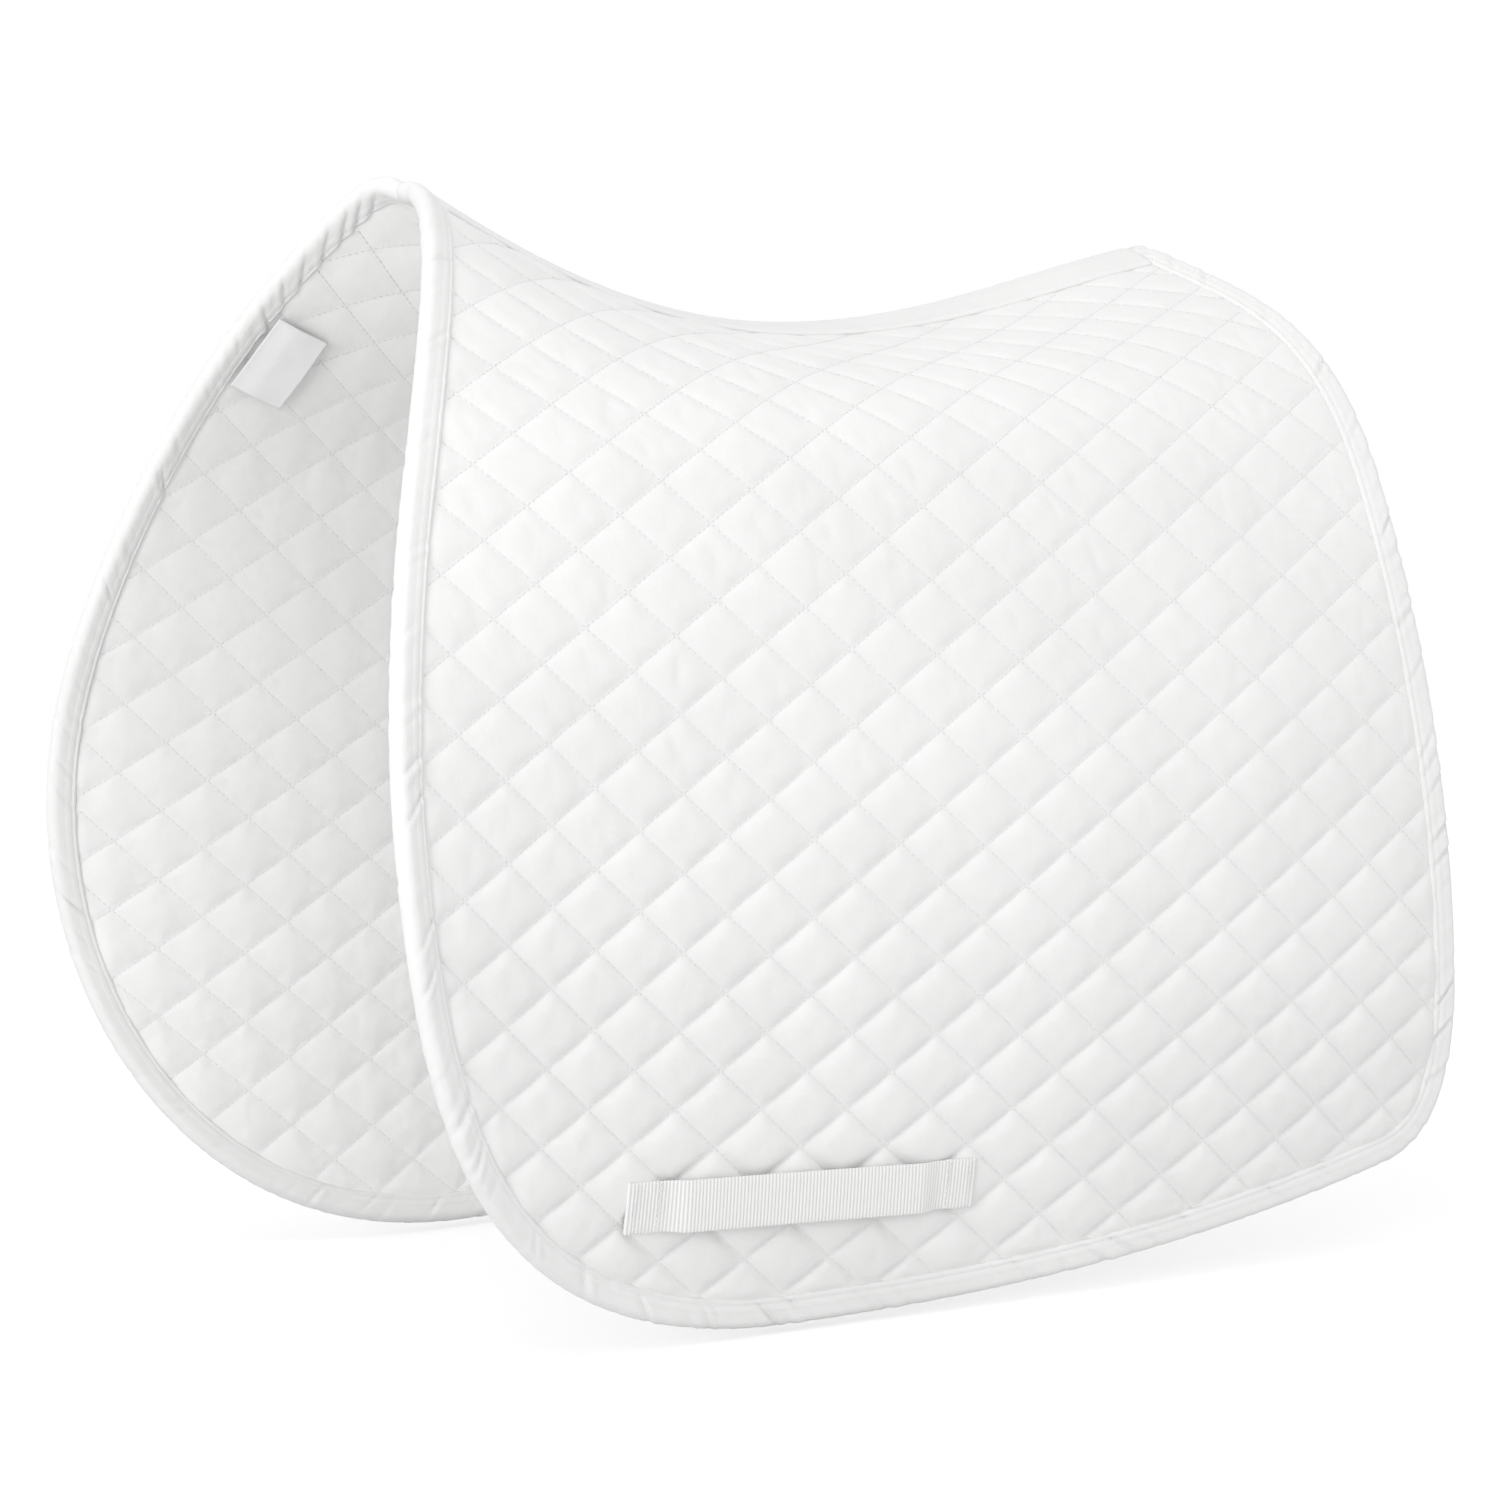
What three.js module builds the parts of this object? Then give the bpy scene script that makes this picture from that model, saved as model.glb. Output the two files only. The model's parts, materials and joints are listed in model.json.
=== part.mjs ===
import * as THREE from 'three';

// Quilted saddle pad, draped as it lies on a horse. Millimetres, +Z up.
// -X points to the horse's head, +X to its tail, -Y to its near (left) side.
// The origin is on the centre plane, level with the lowest point of the flaps.

// ---------------------------------------------------------------- driving dimensions

const FOLD_Z = 417;        // height of the line where each flap folds against the crown
const WIDEST_Z = 192;      // height at which the flaps stand furthest apart

// The spine line on the centre plane: high at the withers, low under the saddle.
const WITHERS = { x: -216, z: 565, swell: 0.08 };
const DIP = { x: 0, z: 500.5 };
const CANTLE = { x: 267, z: 553.5, swell: 0.5 };

// The panel's outline seen from the side, as cubic curves of [x, z] points, top to bottom.
const FRONT_OUTLINE = [
  [[WITHERS.x, WITHERS.z], [-244, 544], [-326, 380], [-326, 260]],
  [[-326, 260], [-326, 138], [-271, 0], [-96, 0]],
];
const REAR_OUTLINE = [
  [[CANTLE.x, CANTLE.z], [292, 417], [319, 237], [326, 132]],
  [[326, 132], [326, 86], [316, 56], [282, 47]],
  [[282, 47], [164, 17], [54, 0], [-96, 0]],
];

// Layers through the quilt, from the outside in.
const FABRIC = 0.9;        // outer shell and lining
const BATTING = 4.5;       // the felt-like filling
const LAYER_GAP = 0.3;
const PANEL = 2 * FABRIC + 2 * LAYER_GAP + BATTING;

// Binding, tapes and thread.
const BINDING_LEG = 14;
const BINDING_CLEARANCE = 0.8;
const BINDING_FABRIC = 0.8;
const PANEL_INSET = 1.8;   // the panel's raw edge stops this far inside the bound edge
const SPINE_TAPE_HALF = 27;
const SEAM_TAPE_HALF = 16;
const SPINE_MARGIN = 2.5;  // the tapes stop this far short of the crown's bindings
const TAPE_CLEARANCE = 1.4;
const THREAD_WIDTH = 1.2;
const THREAD_HEIGHT = 0.6;
const THREAD_GAP = 0.35;
const STITCH_INSET = 1.8;    // a row of stitches runs this far inside the edge of its tape

// Folding. The hinge line runs 3.5 mm outside the fold, proud of the binding and its thread.
const FOLD_GAP = 0.8;
const BINDING_FOLD_GAP = 3.5;
const FOLD_BEVEL = Math.tan(THREE.MathUtils.degToRad(12));

// Girth loop: 1 inch webbing sewn down at both ends, low on each flap.
const LOOP_LENGTH = 200;
const LOOP_WIDTH = 25;
const LOOP_FOOT = 20;
const LOOP_WEBBING = 1.6;
const LOOP_SLOT = 7;       // clear height under the middle of the loop
const LOOP_START = { x: -195, z: 70 };
const LOOP_END = { x: 6, z: 63 };
const LOOP_STITCH_WIDTH = 2;
const LOOP_FOOT_LOW = 1.4; // room under each foot for the curve of the flap
const LOOP_RAMP = 14;      // the webbing rises to its raised span over this length

// Care label on the lining of the right flap, sewn along the front binding.
const LABEL_LENGTH = 45;
const LABEL_WIDTH = 32;
const LABEL_THICKNESS = 0.5;
const LABEL_LIFT = 3.2;
const LABEL_EDGE_GAP = 0.8;
const LABEL_ROW = 0.585;   // how far down the crown the label's middle is, 0 spine to 1 fold

// Grid fineness.
const CROWN_ROWS = 11;
const FLAP_ROWS = 13;
const COLUMNS = 13;
const ROW_CROWDING = 1.6;  // rows crowd towards the rounded bottom corners
const LOWEST_ROW = 0.1;    // the last row lies just above the outline's lowest point
const SPINE_STATIONS = 12;
const FLAT_SPAN = 20;      // half length and half width of the spine's flat facet at the dip
const FLAT_HALF = 5;

const LEFT = -1;
const RIGHT = 1;

// ---------------------------------------------------------------- outline curves

function cubic(points, u) {
  const w = [(1 - u) ** 3, 3 * (1 - u) ** 2 * u, 3 * (1 - u) * u ** 2, u ** 3];
  return [0, 1].map((axis) => points.reduce((sum, point, i) => sum + w[i] * point[axis], 0));
}

// The outline's point at height z, with its unit normal towards the inside of the panel.
function outlineAt(outline, z, insideSign) {
  const curve = outline.find((points) => z >= points[3][1]) ?? outline[outline.length - 1];
  let low = 0;
  let high = 1;
  for (let i = 0; i < 40; i += 1) {
    const middle = (low + high) / 2;
    if (cubic(curve, middle)[1] > z) low = middle;
    else high = middle;
  }
  const step = 0.002;
  const before = cubic(curve, Math.max(0, low - step));
  const after = cubic(curve, Math.min(1, low + step));
  const length = Math.hypot(after[0] - before[0], after[1] - before[1]);
  const [x] = cubic(curve, low);
  return {
    x,
    z,
    nx: insideSign * (before[1] - after[1]) / length,
    nz: insideSign * (after[0] - before[0]) / length,
  };
}

// ---------------------------------------------------------------- the pad's outer surface

// Half the distance between the flaps along the fold: straight, so that it can hinge.
const foldHalf = (x) => 161.5 + 0.045 * x;

// Half the distance at the widest height: flared at the shoulder, full over the ribs.
function widestHalf(x) {
  const t = x / 300;
  return 191.8 + 22 * t + 9 * t ** 2 - 19.5 * t ** 3;
}

function flankHalf(x, z) {
  const away = (z - WIDEST_Z) / (FOLD_Z - WIDEST_Z);
  return widestHalf(x) - (widestHalf(x) - foldHalf(x)) * away ** 2;
}

// The spine line rises from the dip as a soft S towards each end.
function spineHeight(x) {
  const end = x < DIP.x ? WITHERS : CANTLE;
  const u = (x - DIP.x) / (end.x - DIP.x);
  return DIP.z + (end.z - DIP.z) * u ** 2 * (1 + end.swell * (1 - u ** 2));
}

// The crown's cross-section is an arch from the spine (v = 0) to the fold (v = 1).
const RIDGE_RADIUS = 10;   // rounds the ridge
const crownSlope = (x) => 0.3 + 0.0007 * x;
const spineHandle = (x) => 68 + 0.04 * x;
const foldHandle = (x) => 68 + 0.14 * x;

function crownSection(x, v) {
  const away = Math.abs(v);
  const slope = crownSlope(x);
  const top = spineHeight(x) + slope * RIDGE_RADIUS;
  const handle = spineHandle(x);
  const lean = 2 * (widestHalf(x) - foldHalf(x)) / (FOLD_Z - WIDEST_Z);
  const leanLength = Math.hypot(lean, 1);
  const rise = foldHandle(x) / leanLength;
  const arch = [
    [0, top],
    [handle, top - slope * handle],
    [foldHalf(x) - lean * rise, FOLD_Z + rise],
    [foldHalf(x), FOLD_Z],
  ];
  const [half, height] = cubic(arch, away);
  return [half, height - slope * RIDGE_RADIUS * Math.exp(-half / RIDGE_RADIUS)];
}

const flankPoint = (side, x, z) => new THREE.Vector3(x, side * flankHalf(x, z), z);

function crownPoint(side, x, v) {
  const [half, height] = crownSection(x, v);
  return new THREE.Vector3(x, side * Math.sign(v || 1) * half, height);
}

function unitNormal(alongX, alongV, side) {
  return alongX.cross(alongV).normalize().multiplyScalar(side);
}

function flankNormal(side, x, z) {
  const alongX = flankPoint(side, x + 1, z).sub(flankPoint(side, x - 1, z));
  const downwards = flankPoint(side, x, z - 1).sub(flankPoint(side, x, z + 1));
  return unitNormal(alongX, downwards, side);
}

function crownNormal(side, x, v) {
  const step = 0.005;
  const alongX = crownPoint(side, x + 1, v).sub(crownPoint(side, x - 1, v));
  const outwards = crownPoint(side, x, v + step).sub(crownPoint(side, x, v - step));
  return unitNormal(alongX, outwards, side);
}

// A point at some depth under the outer surface. Negative depths stand proud of it.
const flankAt = (side, x, z, depth) =>
  flankPoint(side, x, z).addScaledVector(flankNormal(side, x, z), -depth);
const crownAt = (side, x, v, depth) =>
  crownPoint(side, x, v).addScaledVector(crownNormal(side, x, v), -depth);

// Where the outline crosses the crown's row v.
function crownEdge(outline, v) {
  let { x } = outline === FRONT_OUTLINE ? WITHERS : CANTLE;
  for (let i = 0; i < 30; i += 1) {
    const z = Math.min(crownSection(x, v)[1], outline[0][0][1]);
    x = (x + outlineAt(outline, z, 1).x) / 2;
  }
  return x;
}

// ---------------------------------------------------------------- closed solids

function meshFrom(corners, triangles) {
  const geometry = new THREE.BufferGeometry();
  geometry.setAttribute('position', new THREE.Float32BufferAttribute(corners.flatMap((p) => p.toArray()), 3));
  geometry.setIndex(triangles.flat());
  return geometry;
}

// Turns a geometry inside out if its signed volume is negative, then adds normals.
function facingOut(geometry) {
  const position = geometry.getAttribute('position');
  const index = geometry.getIndex();
  const corner = (i) => new THREE.Vector3().fromBufferAttribute(position, index.getX(i));
  let volume = 0;
  for (let i = 0; i < index.count; i += 3) {
    volume += corner(i).dot(corner(i + 1).cross(corner(i + 2)));
  }
  if (volume < 0) {
    for (let i = 0; i < index.count; i += 3) {
      const swap = index.getX(i);
      index.setX(i, index.getX(i + 1));
      index.setX(i + 1, swap);
    }
  }
  geometry.computeVertexNormals();
  return geometry;
}

// A solid between two grids of points of the same size.
function slab(outer, inner) {
  const rows = outer.length;
  const columns = outer[0].length;
  const id = (face, row, column) => face * rows * columns + row * columns + column;
  const triangles = [];
  const quad = (a, b, c, d) => triangles.push([a, b, c], [a, c, d]);
  for (let r = 0; r + 1 < rows; r += 1) {
    for (let c = 0; c + 1 < columns; c += 1) {
      quad(id(0, r, c), id(0, r, c + 1), id(0, r + 1, c + 1), id(0, r + 1, c));
      quad(id(1, r, c), id(1, r + 1, c), id(1, r + 1, c + 1), id(1, r, c + 1));
    }
    quad(id(0, r, 0), id(0, r + 1, 0), id(1, r + 1, 0), id(1, r, 0));
    const last = columns - 1;
    quad(id(0, r, last), id(1, r, last), id(1, r + 1, last), id(0, r + 1, last));
  }
  for (let c = 0; c + 1 < columns; c += 1) {
    quad(id(0, 0, c), id(1, 0, c), id(1, 0, c + 1), id(0, 0, c + 1));
    const last = rows - 1;
    quad(id(0, last, c), id(0, last, c + 1), id(1, last, c + 1), id(1, last, c));
  }
  return facingOut(meshFrom([...outer.flat(), ...inner.flat()], triangles));
}

// A solid swept through rings of points; `profile` is the flat shape that each ring follows.
function sweep(rings, profile) {
  const around = profile.length;
  const triangles = [];
  for (let r = 0; r + 1 < rings.length; r += 1) {
    for (let i = 0; i < around; i += 1) {
      const next = (i + 1) % around;
      const a = r * around + i;
      const b = r * around + next;
      triangles.push([a, b, b + around], [a, b + around, a + around]);
    }
  }
  const flat = profile.map(([x, y]) => new THREE.Vector2(x, y));
  const lastRing = (rings.length - 1) * around;
  for (const [a, b, c] of THREE.ShapeUtils.triangulateShape(flat, [])) {
    triangles.push([a, c, b], [lastRing + a, lastRing + b, lastRing + c]);
  }
  return facingOut(meshFrom(rings.flat(), triangles));
}

// ---------------------------------------------------------------- quilted panels

const fractions = (count) => Array.from({ length: count + 1 }, (_, i) => i / count);

// The fold's end faces open towards the inside, so a flap can also swing inwards.
const foldSetback = (depth) => FOLD_GAP + Math.max(0, depth) * FOLD_BEVEL;

function crownGrid(side, depth) {
  return fractions(CROWN_ROWS).map((fraction) => {
    const front = crownEdge(FRONT_OUTLINE, fraction) + 1.5 * PANEL_INSET;
    const rear = crownEdge(REAR_OUTLINE, fraction) - 1.5 * PANEL_INSET;
    return fractions(COLUMNS).map((across) => {
      const x = THREE.MathUtils.lerp(front, rear, across);
      const lastRow = 1 - foldSetback(depth) / (3 * foldHandle(x));
      const point = crownAt(side, x, fraction * lastRow, depth);
      if (fraction === 0) point.y = side * LAYER_GAP / 2;
      return point;
    });
  });
}

// Row heights down a flap, from the fold to the bottom of the outline.
const flapHeights = (top, bottom) =>
  fractions(FLAP_ROWS).map((fraction) => bottom + (top - bottom) * (1 - fraction) ** ROW_CROWDING);

function flapGrid(side, depth) {
  return flapHeights(FOLD_Z - foldSetback(depth), LOWEST_ROW).map((z) => {
    const front = outlineAt(FRONT_OUTLINE, z, 1);
    const rear = outlineAt(REAR_OUTLINE, z, -1);
    return fractions(COLUMNS).map((across) => {
      const between = (start, end) => THREE.MathUtils.lerp(start, end, across);
      const x = between(front.x + PANEL_INSET * front.nx, rear.x + PANEL_INSET * rear.nx);
      const height = z + PANEL_INSET * between(front.nz, rear.nz);
      return flankAt(side, x, Math.min(height, FOLD_Z - foldSetback(depth)), depth);
    });
  });
}

const LAYERS = {
  outer_shell: [0, FABRIC],
  batting: [FABRIC + LAYER_GAP, FABRIC + LAYER_GAP + BATTING],
  lining: [PANEL - FABRIC, PANEL],
};

// ---------------------------------------------------------------- binding, tapes and thread

// A binding is a U folded over the panel's edge: [distance in from the edge, depth] points.
const BINDING_TOP = -BINDING_CLEARANCE - BINDING_FABRIC;
const BINDING_PROFILE = [
  [0, BINDING_TOP],
  [BINDING_LEG, BINDING_TOP],
  [BINDING_LEG, -BINDING_CLEARANCE],
  [BINDING_FABRIC, -BINDING_CLEARANCE],
  [BINDING_FABRIC, PANEL + BINDING_CLEARANCE],
  [BINDING_LEG, PANEL + BINDING_CLEARANCE],
  [BINDING_LEG, PANEL + BINDING_CLEARANCE + BINDING_FABRIC],
  [0, PANEL + BINDING_CLEARANCE + BINDING_FABRIC],
];

// A row of stitches is a low ridge of thread on top of a tape whose outer face is at `top`.
function threadProfile(centre, top) {
  const low = top - THREAD_GAP;
  const near = centre - THREAD_WIDTH / 2;
  const far = centre + THREAD_WIDTH / 2;
  return [[near, low - THREAD_HEIGHT], [far, low - THREAD_HEIGHT], [far, low], [near, low]];
}

const BINDING_THREAD = threadProfile(BINDING_LEG - STITCH_INSET, BINDING_TOP);

// Each station gives the point that lies `inwards` from the bound edge at some depth.
function flapStations(side) {
  const heights = flapHeights(FOLD_Z - BINDING_FOLD_GAP, LOWEST_ROW);
  const station = (edge) => (inwards, depth) => {
    const z = Math.min(edge.z + edge.nz * inwards, FOLD_Z - BINDING_FOLD_GAP);
    return flankAt(side, edge.x + edge.nx * inwards, z, depth);
  };
  const down = heights.map((z) => station(outlineAt(FRONT_OUTLINE, z, 1)));
  const up = heights.map((z) => station(outlineAt(REAR_OUTLINE, z, -1))).reverse();
  return [...down, ...up];
}

// A station on the crown's edge at row v; negative rows are on the left side.
function crownStation(outline, insideSign, v) {
  const step = 0.02;
  const edgeX = (row) => crownEdge(outline, Math.abs(row));
  const at = (x, row) => crownPoint(RIGHT, x, row);
  const x = edgeX(v);
  const along = at(edgeX(v + step), v + step).sub(at(edgeX(v - step), v - step));
  const inward = along.cross(crownNormal(RIGHT, x, v)).normalize();
  if (inward.x * insideSign < 0) inward.negate();
  const perRow = at(x, v + step).sub(at(x, v - step)).divideScalar(2 * step);
  const perX = at(x + 1, v).sub(at(x - 1, v)).divideScalar(2);
  return (inwards, depth) => {
    const alongX = inward.x * inwards;
    const rest = inward.clone().multiplyScalar(inwards).addScaledVector(perX, -alongX);
    const alongRow = rest.dot(perRow) / perRow.lengthSq();
    return crownAt(RIGHT, x + alongX, v + alongRow, depth);
  };
}

function crownStations(outline, insideSign) {
  const lastRow = 1 - BINDING_FOLD_GAP / (3 * foldHandle(crownEdge(outline, 1)));
  const rows = fractions(CROWN_ROWS).map((fraction) => fraction * lastRow);
  const signed = [...rows.slice(1).reverse().map((v) => -v), ...rows];
  return signed.map((v) => crownStation(outline, insideSign, v));
}

const alongEdge = (stations, profile) =>
  sweep(stations.map((at) => profile.map(([inwards, depth]) => at(inwards, depth))), profile);

// Stations along the spine, from one crown binding to the other.
// Here the profile's first number is the distance to the right of the centre plane.
function spineStations() {
  const from = WITHERS.x + BINDING_LEG + SPINE_MARGIN;
  const to = CANTLE.x - BINDING_LEG - SPINE_MARGIN;
  const stretches = [[from, DIP.x - FLAT_SPAN], [DIP.x + FLAT_SPAN, to]];
  const places = stretches.flatMap(([start, end]) =>
    fractions(SPINE_STATIONS / 2).map((fraction) => THREE.MathUtils.lerp(start, end, fraction)));
  return places.map((x) => (aside, depth) =>
    crownAt(RIGHT, x, aside / (3 * spineHandle(x)), depth));
}

function tapeProfile(half, near, far) {
  const places = [-half, -half / 2, -FLAT_HALF, FLAT_HALF, half / 2, half];
  const top = places.map((aside) => [aside, near]);
  const bottom = places.map((aside) => [aside, far]).reverse();
  return [...top, ...bottom];
}

const SPINE_TAPE_TOP = -TAPE_CLEARANCE - FABRIC;

const spineTape = () =>
  alongEdge(spineStations(), tapeProfile(SPINE_TAPE_HALF, SPINE_TAPE_TOP, -TAPE_CLEARANCE));

function seamTape() {
  const near = PANEL + TAPE_CLEARANCE;
  return alongEdge(spineStations(), tapeProfile(SEAM_TAPE_HALF, near, near + FABRIC));
}

const spineThread = (side) =>
  alongEdge(spineStations(), threadProfile(side * (SPINE_TAPE_HALF - STITCH_INSET), SPINE_TAPE_TOP));

// ---------------------------------------------------------------- girth loops

// The loop's own frame: X along the webbing, Y across it, Z away from the flap.
function loopFrame(side) {
  const start = flankPoint(side, LOOP_START.x, LOOP_START.z);
  const end = flankPoint(side, LOOP_END.x, LOOP_END.z);
  const along = end.clone().sub(start).normalize();
  const middle = start.add(end).multiplyScalar(0.5);
  const away = flankNormal(side, middle.x, middle.z);
  away.addScaledVector(along, -away.dot(along)).normalize();
  const across = away.clone().cross(along);
  return new THREE.Matrix4().makeBasis(along, across, away).setPosition(middle);
}

const LOOP_FOOT_HIGH = LOOP_FOOT_LOW + 2 * LOOP_WEBBING;
const LOOP_TOP = LOOP_SLOT + LOOP_WEBBING;

// Side view of the webbing: a foot of doubled webbing at each end and a raised flat span.
function loopShape() {
  const end = LOOP_LENGTH / 2;
  const foot = end - LOOP_FOOT;
  const span = foot - LOOP_RAMP;
  const upper = [[end, LOOP_FOOT_HIGH], [foot, LOOP_FOOT_HIGH], [span, LOOP_TOP]];
  const lower = [[span, LOOP_SLOT], [foot, LOOP_FOOT_LOW], [end, LOOP_FOOT_LOW]];
  const mirrored = (points) => points.map(([x, y]) => [-x, y]).reverse();
  const ring = [...upper, ...mirrored(upper), ...mirrored(lower), ...lower];
  return new THREE.Shape(ring.map(([x, y]) => new THREE.Vector2(x, y)));
}

// Extrudes a side view across the webbing's width, centred on it.
function acrossLoop(shape, width) {
  const geometry = new THREE.ExtrudeGeometry(shape, { depth: width, bevelEnabled: false });
  geometry.translate(0, 0, -width / 2);
  return geometry.rotateX(Math.PI / 2);
}

// The rows of stitches across one foot, as a low block of thread on top of it.
function loopStitchShape(centre) {
  const near = centre - LOOP_STITCH_WIDTH / 2;
  const far = centre + LOOP_STITCH_WIDTH / 2;
  const low = LOOP_FOOT_HIGH + THREAD_GAP;
  const high = low + THREAD_HEIGHT;
  const ring = [[near, low], [far, low], [far, high], [near, high]];
  return new THREE.Shape(ring.map(([x, y]) => new THREE.Vector2(x, y)));
}

// ---------------------------------------------------------------- care label

// The label's frame: X down along its sewn edge, Y away from the binding, Z off the lining.
function labelFrame() {
  const depth = PANEL + LABEL_LIFT;
  const start = BINDING_LEG + LABEL_EDGE_GAP;
  const row = (v) => crownStation(FRONT_OUTLINE, 1, v);
  const origin = row(LABEL_ROW)(start, depth);
  const step = 0.1;
  const down = row(LABEL_ROW + step)(start, depth).sub(row(LABEL_ROW - step)(start, depth)).normalize();
  const inward = row(LABEL_ROW)(start + LABEL_WIDTH, depth).sub(origin);
  const off = down.clone().cross(inward).normalize();
  const away = off.clone().cross(down);
  return new THREE.Matrix4().makeBasis(down, away, off).setPosition(origin);
}

// ---------------------------------------------------------------- assembly

const FINISHES = {
  outer_shell: { color: 0xf6f6f4, roughness: 0.92 },
  batting: { color: 0xeeeeea, roughness: 1.0 },
  lining: { color: 0xf1f1ef, roughness: 0.94 },
  binding: { color: 0xf8f8f7, roughness: 0.85 },
  webbing: { color: 0xf4f4f2, roughness: 0.8 },
  thread: { color: 0xfafafa, roughness: 0.6 },
  label: { color: 0xf3f3f3, roughness: 0.5 },
};

const pad = new THREE.Group();

function add(name, finish, geometry, frame) {
  const material = new THREE.MeshStandardMaterial({ ...FINISHES[finish], metalness: 0 });
  const mesh = new THREE.Mesh(geometry, material);
  mesh.name = name;
  if (frame) mesh.applyMatrix4(frame);
  pad.add(mesh);
}

for (const [word, side] of [['left', LEFT], ['right', RIGHT]]) {
  for (const [layer, [near, far]] of Object.entries(LAYERS)) {
    add(`${word}_crown_${layer}`, layer, slab(crownGrid(side, near), crownGrid(side, far)));
    add(`${word}_flap_${layer}`, layer, slab(flapGrid(side, near), flapGrid(side, far)));
  }
  add(`${word}_flap_binding`, 'binding', alongEdge(flapStations(side), BINDING_PROFILE));
  add(`${word}_flap_binding_thread`, 'thread', alongEdge(flapStations(side), BINDING_THREAD));
  add(`${word}_spine_thread`, 'thread', spineThread(side));

  add(`${word}_girth_loop`, 'webbing', acrossLoop(loopShape(), LOOP_WIDTH), loopFrame(side));
  for (const [place, sign] of [['front', -1], ['rear', 1]]) {
    const shape = loopStitchShape(sign * (LOOP_LENGTH / 2 - LOOP_FOOT / 2));
    const geometry = acrossLoop(shape, LOOP_WIDTH - 2 * STITCH_INSET);
    add(`${word}_loop_${place}_stitching`, 'thread', geometry, loopFrame(side));
  }
}

for (const [name, outline, insideSign] of [['withers', FRONT_OUTLINE, 1], ['cantle', REAR_OUTLINE, -1]]) {
  const stations = crownStations(outline, insideSign);
  add(`${name}_binding`, 'binding', alongEdge(stations, BINDING_PROFILE));
  add(`${name}_binding_thread`, 'thread', alongEdge(stations, BINDING_THREAD));
}

add('spine_tape', 'binding', spineTape());
add('underside_seam_tape', 'lining', seamTape());

const label = new THREE.BoxGeometry(LABEL_LENGTH, LABEL_WIDTH, LABEL_THICKNESS);
label.translate(0, LABEL_WIDTH / 2, LABEL_THICKNESS / 2);
add('care_label', 'label', label, labelFrame());

export default pad;
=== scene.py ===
"""Looks of the quilted saddle pad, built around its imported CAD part.

All shapes are worked out in millimetres in the part's own frame (-X to the horse's head, -Y to
its left side, +Z up) and become metres when a mesh is made. Cloth is described in fabric
coordinates: x along the horse, and q, the distance down the cloth from the fold of a flap.
"""

import json
import math

import bmesh
import bpy
import numpy as np
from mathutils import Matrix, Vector


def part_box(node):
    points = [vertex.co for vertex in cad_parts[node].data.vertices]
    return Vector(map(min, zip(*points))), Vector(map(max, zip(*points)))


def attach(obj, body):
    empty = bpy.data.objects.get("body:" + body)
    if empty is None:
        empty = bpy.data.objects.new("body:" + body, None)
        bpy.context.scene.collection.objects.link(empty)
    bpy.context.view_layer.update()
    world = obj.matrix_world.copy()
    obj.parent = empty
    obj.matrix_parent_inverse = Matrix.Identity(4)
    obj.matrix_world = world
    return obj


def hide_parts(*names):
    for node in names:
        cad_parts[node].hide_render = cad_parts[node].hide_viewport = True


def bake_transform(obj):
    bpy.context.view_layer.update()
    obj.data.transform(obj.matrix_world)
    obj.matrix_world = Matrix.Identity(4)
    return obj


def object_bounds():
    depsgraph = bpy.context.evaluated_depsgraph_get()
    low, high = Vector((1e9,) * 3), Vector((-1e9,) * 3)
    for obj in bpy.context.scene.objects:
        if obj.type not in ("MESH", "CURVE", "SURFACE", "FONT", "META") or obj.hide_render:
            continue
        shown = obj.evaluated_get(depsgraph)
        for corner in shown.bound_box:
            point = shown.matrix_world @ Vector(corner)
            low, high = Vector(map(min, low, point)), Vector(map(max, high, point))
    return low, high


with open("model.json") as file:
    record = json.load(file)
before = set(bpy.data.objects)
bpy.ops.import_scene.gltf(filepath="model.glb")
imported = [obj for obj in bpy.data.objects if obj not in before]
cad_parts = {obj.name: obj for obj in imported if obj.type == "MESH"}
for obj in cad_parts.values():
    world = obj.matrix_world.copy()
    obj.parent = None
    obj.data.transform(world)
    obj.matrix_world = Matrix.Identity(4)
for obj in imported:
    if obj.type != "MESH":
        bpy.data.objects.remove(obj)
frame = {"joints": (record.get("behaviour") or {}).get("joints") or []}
cad_low, cad_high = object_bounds()

# ---- driving dimensions

MM = 0.001
SIDES = {"left": -1, "right": 1}
JOINTS = {joint["name"]: joint for joint in frame["joints"]}

# The pad's surface, as in the CAD part.
FOLD_Z = JOINTS["left_flap_fold"]["pos_m"][2] / MM
WIDEST_Z = 192.0
WITHERS = {"x": -216.0, "z": 565.0, "swell": 0.08}
DIP_Z = 500.5
CANTLE = {"x": 267.0, "z": 553.5, "swell": 0.5}
RIDGE_RADIUS = 10.0
SHOULDER_RISE = 8.0  # how much fuller the right side of the withers is
SHOULDER_AT = 30.0  # its distance from the spine
SHOULDER_LENGTH = 70.0  # how far it reaches along the horse
FRONT_OUTLINE = [
    [(WITHERS["x"], WITHERS["z"]), (-244, 544), (-326, 380), (-326, 260)],
    [(-326, 260), (-326, 138), (-271, 0), (-96, 0)],
]
REAR_OUTLINE = [
    [(CANTLE["x"], CANTLE["z"]), (292, 417), (319, 237), (326, 132)],
    [(326, 132), (326, 86), (316, 56), (282, 47)],
    [(282, 47), (164, 17), (54, 0), (-96, 0)],
]
PANEL = 6.9  # thickness of the quilt at its fullest

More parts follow.
